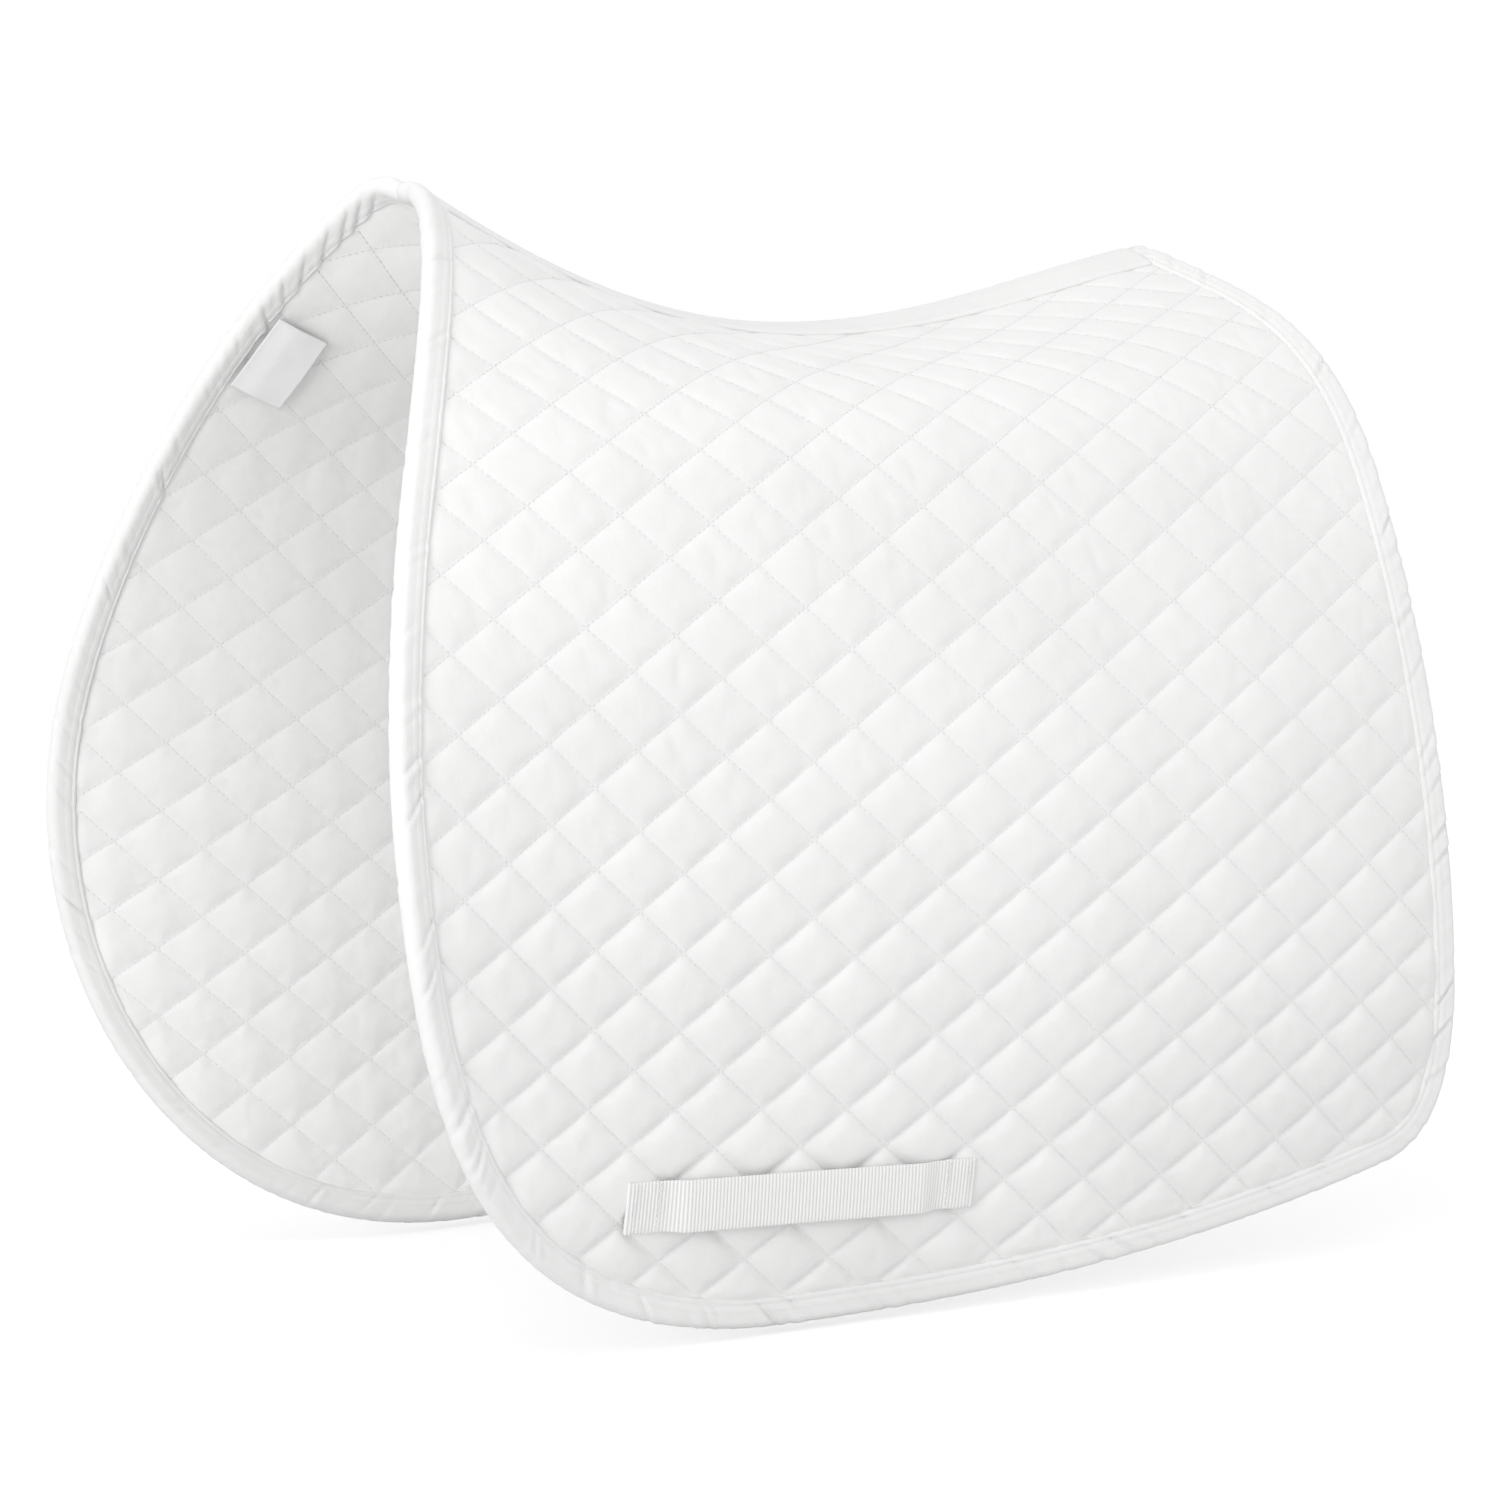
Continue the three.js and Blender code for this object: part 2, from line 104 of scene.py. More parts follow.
# Quilting: diamonds in rows that run down a little towards the tail.
DIAMOND_WIDTH = 49.9
DIAMOND_HEIGHT = 37.9
ROW_TILT = math.radians(4.6)
COLUMN_TILT = math.radians(1.9)
DIAMOND_CENTRE = (-163.5, 116.0)
DIVISIONS = 10  # mesh squares along each side of a diamond
SEAM_DEPTH = 2.9  # of the outer seams, below the fullest surface
LINING_SEAM_DEPTH = 2.3
PUFF = 3.4  # how far a diamond's middle rises over its seams
LINING_PUFF = 1.9
EDGE_DEPTH = 2.2  # of the cloth under the binding and the tapes
FABRIC = 0.7  # thickness of one layer of cloth
FILLING_GAP = 0.3  # between the cloth and the filling
FILLING_SHARE = 0.6  # of the cloth's swelling that the filling takes up
THINNEST_FILLING = 0.24
PANEL_INSET = 5.0  # the quilt ends this far inside the edge and the spine
STITCH_PITCH = 3.3
SEWN_STITCH = (2.5, 0.33)  # length and radius of a stitch of the binding and the spine tape
QUILT_STITCH = (2.6, 0.27)
LOOP_STITCH = (2.2, 0.35)
LABEL_STITCH = (2.2, 0.25)
STITCH_SHOULDER = 0.32  # share of a stitch's length from its middle to where it narrows
STITCH_LIFT = 0.15  # of the quilting thread above the bottom of its seam
SEAM_CREASE = 0.85  # sharpness of the seams
STITCHES_INSET = 15.5  # the quilting thread ends this far inside the edge
DIAMOND_REACH = 26  # diamonds counted each way from the middle one, more than the pad has
FARTHEST_X = 340.0  # no part of the pad is farther out than this
FARTHEST_Q = 450.0
WRINKLES = 260
WRINKLE_DEPTH = 1.3

# Cloth simulation of the quilted sheets.
SLACK = 0.01  # how much longer the cloth is than the surface it is sewn to
FRAMES = 20
CLOTH = {
    "quality": 6,
    "mass": 0.15,
    "tension_stiffness": 12,
    "compression_stiffness": 12,
    "shear_stiffness": 6,
    "bending_stiffness": 0.4,
    "uniform_pressure_force": 16.0,
    "shrink_min": -SLACK,
}
START_PUFF = 0.85  # share of the full puff that the cloth starts with
MOST_RISE = 3.0  # caps on how far a point may move
MOST_SINK = 2.0
MOST_SLIDE = 1.5

# Binding, tapes and loops.
BINDING_LEG = 14.0  # width of the binding on each face
BINDING_STITCH = 11.6  # its stitching, from the edge
BINDING_TURN = 3.4  # where its flat leg begins to turn round the edge
BINDING_OVER = 0.5  # how far it stands past the edge
WITHERS_GATHERS = (14, 26, 37, 52, 70)  # deep puckers, by distance from the spine
TUCK = 1.8  # how far the free edge of a sewn strip turns down into the quilt
TAPE_INSET = 9.0  # the tapes end this far inside the withers and the cantle
SPINE_TAPE_HALF = 27.0
SEAM_TAPE_HALF = 16.0
LOOP_START = (-195.0, 70.0)
LOOP_END = (6.0, 63.0)
LOOP_WIDTH = 25.0
LOOP_FOOT = 20.0
LOOP_RAMP = 14.0
LOOP_WEBBING = 1.5
LOOP_LEAN = 1.3  # its upper edge lies this much closer to the cloth, its lower edge less close
LOOP_RISE = 5.2  # of the webbing's middle above the cloth
RIB_PITCH = 2.0
RIB_HEIGHT = 0.22
FOOT_HEIGHT = 0.2  # of the webbing's folded end above the cloth
LABEL_LENGTH = 45.0
LABEL_WIDTH = 32.0
LABEL_STITCHES = 14
LABEL_CLOTH = 0.3

# Floor in mm, camera in metres and degrees.
WHITE = (1, 1, 1, 1)
FLOOR_HALF = 4000.0
FLOOR_Z = -4.0
CAMERA_LENS = 85.7
CAMERA_DISTANCE = 1.93
CAMERA_TURN = 34.0
CAMERA_RISE = 3.5
CAMERA_TARGET = (-0.0055, 0.0, 0.2719)


def smooth(t):
    """Rises softly from 0 to 1 as t does."""
    t = np.clip(t, 0, 1)
    return t * t * (3 - 2 * t)


# ---- the pad's surface


def cubic(points, u):
    """Points along a cubic curve with four control points."""
    u = np.asarray(u, float)[..., None]
    p = [np.array(point, float) for point in points]
    v = 1 - u
    return v**3 * p[0] + 3 * v * v * u * p[1] + 3 * v * u * u * p[2] + u**3 * p[3]


def fold_half(x):
    """Half width of the pad at the level of the fold."""
    return 161.5 + 0.045 * x


def widest_half(x):
    """Half width of the pad where its sides stand furthest apart."""
    t = x / 300
    return 191.8 + 22 * t + 9 * t**2 - 19.5 * t**3


def flank_half(x, z):
    away = (z - WIDEST_Z) / (FOLD_Z - WIDEST_Z)
    return widest_half(x) - (widest_half(x) - fold_half(x)) * away**2


def spine_height(x):
    """Height of the ridge: lowest in the middle, rising to the withers and the cantle."""
    front = x < 0
    end_x = np.where(front, WITHERS["x"], CANTLE["x"])
    end_z = np.where(front, WITHERS["z"], CANTLE["z"])
    swell = np.where(front, WITHERS["swell"], CANTLE["swell"])
    u = x / end_x
    return DIP_Z + (end_z - DIP_Z) * u**2 * (1 + swell * (1 - u**2))


def crown_section(x, v):
    """Half width and height of the arch, from the spine (v = 0) to the fold (v = 1)."""
    slope = 0.3 + 0.0007 * x
    top = spine_height(x) + slope * RIDGE_RADIUS
    handle = 68 + 0.04 * x
    lean = 2 * (widest_half(x) - fold_half(x)) / (FOLD_Z - WIDEST_Z)
    rise = (68 + 0.14 * x) / np.hypot(lean, 1)
    w = 1 - v
    weights = [w**3, 3 * w * w * v, 3 * w * v * v, v**3]
    halves = [0, handle, fold_half(x) - lean * rise, fold_half(x)]
    heights = [top, top - slope * handle, FOLD_Z + rise, FOLD_Z]
    half = sum(k * h for k, h in zip(weights, halves))
    height = sum(k * h for k, h in zip(weights, heights))
    return half, height - slope * RIDGE_RADIUS * np.exp(-half / RIDGE_RADIUS)


def section(x, s):
    """Half width and height at row s: 0 spine, 1 fold, 2 the level of the lowest edge."""
    half, height = crown_section(x, np.clip(s, 0, 1))
    z = FOLD_Z * (2 - s)
    on_flap = s > 1
    return np.where(on_flap, flank_half(x, z), half), np.where(on_flap, z, height)


def shoulder_rise(side, x, half):
    """The arch is fuller on the right of the withers than the CAD part's even arch."""
    on_right = np.asarray(side) > 0
    across = half / SHOULDER_AT
    near_withers = np.exp(-(((x - WITHERS["x"]) / SHOULDER_LENGTH) ** 2))
    return on_right * SHOULDER_RISE * near_withers * (across * np.exp(1 - across)) ** 2


def surface(side, x, s):
    half, height = section(x, s)
    return np.stack([x, side * half, height + shoulder_rise(side, x, half)], -1)


def surface_normal(side, x, s):
    """The direction out of the cloth, away from the horse."""
    along = surface(side, x + 1, s) - surface(side, x - 1, s)
    down = surface(side, x, s + ROW_STEP) - surface(side, x, s - ROW_STEP)
    normal = np.cross(along, down)
    flip = np.broadcast_to(side, x.shape)[..., None]
    return flip * normal / np.linalg.norm(normal, axis=-1, keepdims=True)


# Distances down the cloth, on a grid of columns (x) and rows (s), and the way back.
COLUMN_STEP = 5.0
COLUMNS = np.arange(-350, 351, COLUMN_STEP)
ROW_STEP = 0.0025
ROWS = np.arange(841) * ROW_STEP
FOLD_ROW = 400
SHARES = 400
LONGEST_FLAP = 480


def fabric_tables():
    """Distance down the cloth at each grid point, and the rows found back from the distance."""
    half, height = section(COLUMNS[:, None], ROWS[None, :])
    steps = np.hypot(np.diff(half, axis=1), np.diff(height, axis=1))
    drop = np.pad(np.cumsum(steps, axis=1), ((0, 0), (1, 0)))
    drop -= drop[:, FOLD_ROW : FOLD_ROW + 1]
    shares = np.arange(SHARES + 1) / SHARES
    crown = [np.interp(d[0] * (1 - shares), d, ROWS) for d in drop]
    flap = [np.interp(np.arange(LONGEST_FLAP), d, ROWS) for d in drop]
    return drop, np.array(crown), np.array(flap)


DROPS, CROWN_ROWS, FLAP_ROWS = fabric_tables()


def between(table, column, row):
    """Values between the entries of a table."""
    column = np.clip(column, 0, table.shape[0] - 1.001)
    row = np.clip(row, 0, table.shape[1] - 1.001)
    i, j = column.astype(int), row.astype(int)
    u, v = column - i, row - j
    near = table[i, j] * (1 - v) + table[i, j + 1] * v
    far = table[i + 1, j] * (1 - v) + table[i + 1, j + 1] * v
    return near * (1 - u) + far * u


def column_of(x):
    return (x - COLUMNS[0]) / COLUMN_STEP


def drop_at(x, s):
    return between(DROPS, column_of(x), s / ROW_STEP)


def spine_drop(x):
    """q of the spine, which is negative because the spine is above the fold."""
    return np.interp(x, COLUMNS, DROPS[:, 0])


def row_at(x, q):
    """The row s at a fabric place."""
    share = 1 - q / spine_drop(x)
    crown = between(CROWN_ROWS, column_of(x), share * SHARES)
    return np.where(q < 0, crown, between(FLAP_ROWS, column_of(x), q))


def place(side, x, q, depth):
    """The point at some depth under the cloth's outer surface, at fabric place (x, q)."""
    s = row_at(x, q)
    return surface(side, x, s) - surface_normal(side, x, s) * np.asarray(depth)[..., None]


def normal_at(side, x, q):
    return surface_normal(side, x, row_at(x, q))


# ---- the pad's edge


def outline_line(outline):
    u = np.linspace(0, 1, 160)
    return np.concatenate([cubic(points, u) for points in outline])


def crown_edge(line, top_z):
    """x of the crown's edge at rows 0 to 1, where the outline crosses them."""
    rows = np.linspace(0, 1, 90)
    order = np.argsort(line[:, 1])
    x = np.full(rows.shape, line[0, 0])
    for _ in range(40):
        z = np.minimum(crown_section(x, rows)[1], top_z)
        x = (x + np.interp(z, line[order, 1], line[order, 0])) / 2
    return x, rows


def edge_rows(outline, end):
    """The edge from the spine down, as places (x, s)."""
    line = outline_line(outline)
    x, rows = crown_edge(line, end["z"])
    low = line[line[:, 1] < FOLD_Z - 1]
    return np.append(x, low[:, 0]), np.append(rows, 2 - low[:, 1] / FOLD_Z)


def length_along(points):
    return np.concatenate([[0], np.cumsum(np.linalg.norm(np.diff(points, axis=0), axis=1))])


def unit(vectors):
    return vectors / np.linalg.norm(vectors, axis=-1, keepdims=True)


def resample(points, step):
    """The same line with even steps, and the distance of each point along it."""
    length = length_along(points)
    count = int(length[-1] / step)
    at = np.linspace(0, length[-1], count + 1)
    return np.stack([np.interp(at, length, axis) for axis in points.T], -1), at


def edge_path(step):
    """The whole edge of one side in fabric coordinates, with its inward direction."""
    front_x, front_s = edge_rows(FRONT_OUTLINE, WITHERS)
    rear_x, rear_s = edge_rows(REAR_OUTLINE, CANTLE)
    x = np.concatenate([front_x, rear_x[::-1]])
    s = np.concatenate([front_s, rear_s[::-1]])
    points, at = resample(np.stack([x, drop_at(x, s)], -1), step)
    tangent = np.gradient(points, axis=0)
    window = np.ones(9) / 9
    for axis in range(2):
        padded = np.pad(tangent[:, axis], 4, mode="edge")
        tangent[:, axis] = np.convolve(padded, window, mode="valid")
    inward = unit(np.stack([tangent[:, 1], -tangent[:, 0]], -1))
    for end, sign in ((0, 1), (-1, -1)):
        x0 = points[end, 0]
        along_spine = np.array([2.0, spine_drop(x0 + 1) - spine_drop(x0 - 1)])
        along_spine *= sign / np.linalg.norm(along_spine)
        share = smooth(np.abs(at - at[end]) / CORNER_BLEND)[:, None]
        inward = inward * share + along_spine * (1 - share)
    return points, unit(inward), at


EDGE_STEP = 1.7
CORNER_BLEND = 30.0  # near the spine the inward direction turns to run along it
EDGE, EDGE_INWARD, EDGE_AT = edge_path(EDGE_STEP)


def edge_distance(x, q, batch=4000):
    """Distance to the edge in the cloth, and the index of the nearest edge point."""
    distance = np.empty(len(x))
    nearest = np.empty(len(x), int)
    for start in range(0, len(x), batch):
        part = slice(start, start + batch)
        dx = x[part, None] - EDGE[None, :, 0]
        dq = q[part, None] - EDGE[None, :, 1]
        squared = dx * dx + dq * dq
        nearest[part] = np.argmin(squared, axis=1)
        distance[part] = np.sqrt(squared[np.arange(len(nearest[part])), nearest[part]])
    return distance, nearest


def signed_inset(x, q):
    """Distance inside the edge, negative outside it."""
    distance, nearest = edge_distance(x, q)
    off = np.stack([x, q], -1) - EDGE[nearest]
    inside = (off * EDGE_INWARD[nearest]).sum(1) > 0
    return np.where(inside, distance, -distance)


# ---- meshes and pieces

MATERIALS = {}


def new_piece(name, points, faces):
    """A smooth-shaded mesh object from points in millimetres and a list of faces."""
    mesh = bpy.data.meshes.new(name)
    mesh.from_pydata((points * MM).tolist(), [], faces)
    mesh.polygons.foreach_set("use_smooth", [True] * len(mesh.polygons))
    piece = bpy.data.objects.new(name, mesh)
    bpy.context.scene.collection.objects.link(piece)
    return piece


def set_fabric(piece, fabric):
    """Gives each point its fabric coordinates, in metres, for the materials."""
    attribute = piece.data.attributes.new("fabric", "FLOAT_VECTOR", "POINT")
    values = np.zeros((len(fabric), 3), np.float32)
    values[:, : fabric.shape[1]] = fabric * MM
    attribute.data.foreach_set("vector", values.ravel())


def make_mesh(name, points, faces, fabric=None):
    """A piece from arrays of points, faces and, if given, fabric coordinates."""
    points = points.reshape(-1, 3)
    piece = new_piece(name, points, faces.tolist())
    if fabric is not None:
        set_fabric(piece, fabric.reshape(len(points), -1))
    return piece


def apply_modifiers(piece):
    graph = bpy.context.evaluated_depsgraph_get()
    mesh = bpy.data.meshes.new_from_object(piece.evaluated_get(graph))
    piece.modifiers.clear()
    old = piece.data
    piece.data = mesh
    bpy.data.meshes.remove(old)


def thicken(piece, thickness, levels=0):
    """Gives a sheet the thickness of its cloth, after smoothing it if levels are given."""
    if levels:
        modifier = piece.modifiers.new("smoother", "SUBSURF")
        modifier.levels = levels
        modifier.render_levels = levels
    modifier = piece.modifiers.new("cloth", "SOLIDIFY")
    modifier.thickness = thickness * MM
    modifier.offset = -1
    apply_modifiers(piece)


def bend_with(piece):
    """Bakes the piece's transform into its mesh."""
    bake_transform(piece)


def settle(piece, slot, body, *nodes):
    """Gives a piece its material, hides the CAD nodes it stands for and parents it to the body it
    moves with.

    Given a side's name as its body, the piece gets no body: its transform is baked into its mesh.
    """
    piece.data.materials.clear()
    piece.data.materials.append(MATERIALS[slot])
    if nodes:
        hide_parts(*nodes)
    if body in SIDES:
        bend_with(piece)
    else:
        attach(piece, body)


def grid_faces(rows, columns, closed=False):
    """Faces of a grid of rows x columns points. A closed grid joins its last column to its first."""
    r = np.arange(rows - 1)[:, None]
    c = np.arange(columns if closed else columns - 1)[None, :]
    following = (c + 1) % columns
    corners = [r * columns + c, r * columns + following]
    corners += [(r + 1) * columns + following, (r + 1) * columns + c]
    return np.stack([np.broadcast_to(k, (rows - 1, c.shape[1])).ravel() for k in corners], -1)


# ---- stitches


def stitch_shapes(centres, along, up, length, radius):
    """A spindle of thread at each centre, lying along the seam with its tips in the cloth."""
    across = unit(np.cross(along, up))
    up = np.cross(across, along)
    ring = [(1, 0), (0, 1), (-1, 0), (0, -1)]
    points = []
    for place_along in (-STITCH_SHOULDER, STITCH_SHOULDER):
        for a, u in ring:
            offset = place_along * length * along + radius * (a * across + u * up)
            points.append(centres + offset)
    for place_along in (-0.5, 0.5):
        points.append(centres + place_along * length * along - radius * up)
    corners = range(len(ring))
    sides = [[i, (i + 1) % 4, (i + 1) % 4 + 4, i + 4] for i in corners]
    tips = [[8, (i + 1) % 4, i] for i in corners] + [[9, i + 4, (i + 1) % 4 + 4] for i in corners]
    first = np.arange(len(centres))[:, None] * len(points)
    groups = [(first + np.array(face)[None, :]).tolist() for face in sides + tips]
    return np.stack(points, 1).reshape(-1, 3), [face for group in groups for face in group]


def thread_piece(name, parts, body, *nodes):
    """One piece of thread from several (points, faces) parts."""
    points, faces, start = [], [], 0
    for part_points, part_faces in parts:
        points.append(part_points)
        faces += [[start + corner for corner in face] for face in part_faces]
        start += len(part_points)
    settle(new_piece(name, np.concatenate(points), faces), "thread", body, *nodes)


def row_of_stitches(side, x, q, depth, up_sign=1):
    """Stitches along a line of fabric places."""
    points = place(side, x, q, np.full(len(x), depth))
    reach = length_along(points)
    count = int(reach[-1] / STITCH_PITCH)
    at = (np.arange(count) + 0.5) * reach[-1] / count

    def evenly(values):
        return np.stack([np.interp(at, reach, axis) for axis in values.T], -1)

    along = unit(evenly(np.gradient(points, axis=0)))
    up = evenly(normal_at(side, x, q) * up_sign)
    return stitch_shapes(evenly(points), along, up, *SEWN_STITCH)


# ---- quilted panels


def diamond_to_fabric(a, b):
    """Fabric place of quilting coordinates: the seams run where a or b is a whole number."""
    u = DIAMOND_WIDTH * (a + b) / 2
    w = DIAMOND_HEIGHT * (a - b) / 2
    x = DIAMOND_CENTRE[0] + u * math.cos(ROW_TILT) - w * math.sin(COLUMN_TILT)
    q = DIAMOND_CENTRE[1] + u * math.sin(ROW_TILT) + w * math.cos(COLUMN_TILT)
    return x, q


def inside_panel(x, q, inset):
    """Whether each place lies inside the edge and the spine by at least the inset."""
    possible = (np.abs(x) < FARTHEST_X) & (q > spine_drop(x) + inset) & (q < FARTHEST_Q)
    result = np.zeros(x.shape, bool)
    result[possible] = signed_inset(x[possible], q[possible]) > inset
    return result


def quilt_grid(divisions):
    """The quilt's mesh in fabric coordinates, with its lines along the seams."""
    reach = DIAMOND_REACH * divisions
    count = 2 * reach + 1
    index = np.arange(-reach, reach + 1)
    i, j = np.meshgrid(index, index, indexing="ij")
    faces = grid_faces(count, count)
    a, b = i.ravel() / divisions, j.ravel() / divisions
    x, q = diamond_to_fabric(a, b)
    keep = inside_panel(x[faces].mean(1), q[faces].mean(1), PANEL_INSET)
    faces = faces[keep]
    used, faces = np.unique(faces, return_inverse=True)
    faces = faces.reshape(-1, 4)
    x, q, a, b = x[used], q[used], a[used], b[used]
    seam_a = (i.ravel()[used] % divisions) == 0
    seam_b = (j.ravel()[used] % divisions) == 0
    edges = np.sort(np.concatenate([faces[:, [k, (k + 1) % 4]] for k in range(4)]), axis=1)
    pairs, counts = np.unique(edges, axis=0, return_counts=True)
    border = np.zeros(len(x), bool)
    border[pairs[counts == 1].ravel()] = True
    snap_to_inset(x, q, border)
    grid = {"x": x, "q": q, "a": a, "b": b, "faces": faces, "seam_a": seam_a, "seam_b": seam_b}
    grid["edge"], _ = edge_distance(x, q)
    grid["spine"] = q - spine_drop(x)
    return grid


def snap_to_inset(x, q, border):
    """Moves the border points onto the panel's true edge, just inside the binding."""
    ids = np.flatnonzero(border)
    distance, nearest = edge_distance(x[ids], q[ids])
    by_spine = q[ids] - spine_drop(x[ids]) < distance
    along_edge = ids[~by_spine]
    near = EDGE[nearest[~by_spine]]
    share = PANEL_INSET / distance[~by_spine]
    x[along_edge] = near[:, 0] + (x[along_edge] - near[:, 0]) * share
    q[along_edge] = near[:, 1] + (q[along_edge] - near[:, 1]) * share
    along_spine = ids[by_spine]
    q[along_spine] = spine_drop(x[along_spine]) + PANEL_INSET


def swell_share(edge, spine):
    """How freely the quilting swells: hardly at all under the binding and the spine tape."""
    by_edge = smooth((edge - BINDING_LEG + 1.5) / 6)
    by_spine = smooth((spine - SPINE_TAPE_HALF + 2.5) / 7)
    return by_edge * by_spine


def seam_depth(full, share):
    """From the even depth under the binding and tapes (share 0) to the full shape (share 1)."""
    return EDGE_DEPTH + (full - EDGE_DEPTH) * share


def fullness(q):
    """The diamonds are flatter on the crown, where the cloth is stretched over the ridge."""
    return 0.6 + 0.55 * smooth((q - 40) / 300)


def wrinkles(grid):
    """Depth of short random creases in the outer cloth, most of them up on the crown."""
    rng = np.random.RandomState(5)
    depth = np.zeros(len(grid["x"]))
    for _ in range(WRINKLES):
        x = rng.uniform(-300, 300)
        q = rng.normal(10, 90)
        angle = rng.normal(0.25, 0.35)
        width, length = rng.uniform(1.6, 2.8), rng.uniform(5, 13)
        strength = rng.uniform(0.3, 1.0)
        dx, dq = grid["x"] - x, grid["q"] - q
        along = dq * math.cos(angle) + dx * math.sin(angle)
        across = dx * math.cos(angle) - dq * math.sin(angle)
        depth += strength * np.exp(-((across / width) ** 2) - (along / length) ** 2)
    return WRINKLE_DEPTH * depth * swell_share(grid["edge"], grid["spine"]) * pillow(grid, 0.5)


def pillow(grid, power):
    """The swelling of each diamond: 0 on its seams, 1 in its middle."""
    fa, fb = grid["a"] % 1, grid["b"] % 1
    return (16 * fa * (1 - fa) * fb * (1 - fb)) ** power


def outer_depth(grid, puff=PUFF, power=0.5):
    full = SEAM_DEPTH - puff * pillow(grid, power)
    return seam_depth(full, swell_share(grid["edge"], grid["spine"]))


def lining_depth(grid, puff=LINING_PUFF, power=0.5):
    full = LINING_SEAM_DEPTH - puff * pillow(grid, power)
    return PANEL - seam_depth(full, swell_share(grid["edge"], grid["spine"]))


def add_cloth(piece, pinned):
    """Cloth held at its pinned points and blown up by the filling, with no gravity."""
    group = piece.vertex_groups.new(name="held")
    group.add(np.flatnonzero(pinned).tolist(), 1.0, "REPLACE")
    cloth = piece.modifiers.new("cloth", "CLOTH")
    for name, value in CLOTH.items():
        setattr(cloth.settings, name, value)
    cloth.settings.use_pressure = True
    cloth.settings.vertex_group_mass = "held"
    cloth.settings.effector_weights.gravity = 0
    cloth.collision_settings.use_collision = False


def inflate(points, grid, pinned, out):
    """The points of a quilted sheet after the cloth simulation."""
    piece = make_mesh("inflating", points, outward_faces(grid["faces"], points, out))
    add_cloth(piece, pinned)
    scene = bpy.context.scene
    for number in range(1, FRAMES + 1):
        scene.frame_set(number)
    graph = bpy.context.evaluated_depsgraph_get()
    moved = np.empty(len(points) * 3, np.float32)
    piece.evaluated_get(graph).data.vertices.foreach_get("co", moved)
    moved = moved.reshape(-1, 3) / MM
    bpy.data.objects.remove(piece)
    scene.frame_set(1)
    return points + capped_move(moved - points, out)


def capped_move(move, out):
    """The move of each point, held within the caps out of the cloth and along it."""
    rise = (move * out).sum(1)
    sideways = move - rise[:, None] * out
    length = np.linalg.norm(sideways, axis=1, keepdims=True)
    sideways *= np.minimum(1, MOST_SLIDE / np.maximum(length, 1e-6))
    return sideways + np.clip(rise, -MOST_SINK, MOST_RISE)[:, None] * out


def sheet_mesh(name, points, faces, grid):
    """A sheet of the quilt, with its seams marked as creases for the smoothing."""
    fabric = np.stack([grid["x"], grid["q"], grid["edge"]], -1)
    piece = make_mesh(name, points, faces, fabric)
    crease = piece.data.attributes.new("crease_edge", "FLOAT", "EDGE")
    ends = np.empty(len(piece.data.edges) * 2, int)
    piece.data.edges.foreach_get("vertices", ends)
    ends = ends.reshape(-1, 2)
    on_a = grid["seam_a"][ends].all(1) & (grid["a"][ends[:, 0]] == grid["a"][ends[:, 1]])
    on_b = grid["seam_b"][ends].all(1) & (grid["b"][ends[:, 0]] == grid["b"][ends[:, 1]])
    crease.data.foreach_set("value", np.where(on_a | on_b, SEAM_CREASE, 0.0).astype(np.float32))
    return piece


def quilted_sheets(grid):
    """Points of the left outer sheet and the left lining, inflated."""
    side, x, q = SIDES["left"], grid["x"], grid["q"]
    pinned = grid["seam_a"] | grid["seam_b"] | (grid["edge"] < 12) | (grid["spine"] < 26)
    normals = normal_at(side, x, q)
    sheets = []
    for depth, puff, out in ((outer_depth, PUFF, normals), (lining_depth, LINING_PUFF, -normals)):
        sheet = place(side, x, q, depth(grid))
        start = place(side, x, q, depth(grid, puff * START_PUFF))
        sheet = inflate(start, grid, pinned, out)
        seams = place(side, x, q, depth(grid, 0))
        sheets.append(seams + fullness(q)[:, None] * (sheet - seams))
    outer, lining = sheets
    return outer - wrinkles(grid)[:, None] * normals, lining


def mirrored(points, side):
    return points * np.array([1, -side, 1])


def outward_faces(faces, points, out):
    """The faces, turned over if they face against `out`."""
    a, b, c = (points[faces[:, k]] for k in range(3))
    facing = (np.cross(b - a, c - a) * out[faces[:, 0]]).sum(1).mean()
    return faces if facing > 0 else faces[:, ::-1]


def batting_solid(name, side, grid):
    """The filling: a closed body between the two sheets, thin along the seams."""
    share = FILLING_SHARE * fullness(grid["q"])
    outer = outer_depth(grid, PUFF * share, 1.0) + FABRIC + FILLING_GAP
    inner = lining_depth(grid, LINING_PUFF * share, 1.0) - FABRIC - FILLING_GAP
    middle = (outer + inner) / 2
    half = np.maximum((inner - outer) / 2, THINNEST_FILLING / 2)
    top = place(side, grid["x"], grid["q"], middle - half)
    bottom = place(side, grid["x"], grid["q"], middle + half)
    faces = grid["faces"]
    count = len(top)
    loops = np.concatenate([faces[:, [k, (k + 1) % 4]] for k in range(4)])
    keys = loops[:, 0] * count + loops[:, 1]
    back = loops[:, 1] * count + loops[:, 0]
    rim = loops[~np.isin(keys, back)]
    walls = np.stack([rim[:, 1], rim[:, 0], rim[:, 0] + count, rim[:, 1] + count], -1)
    everything = np.concatenate([faces, faces[:, ::-1] + count, walls])
    if side < 0:
        everything = everything[:, ::-1]
    fabric = np.tile(np.stack([grid["x"], grid["q"]], -1), (2, 1))
    return make_mesh(name, np.concatenate([top, bottom]), everything, fabric)


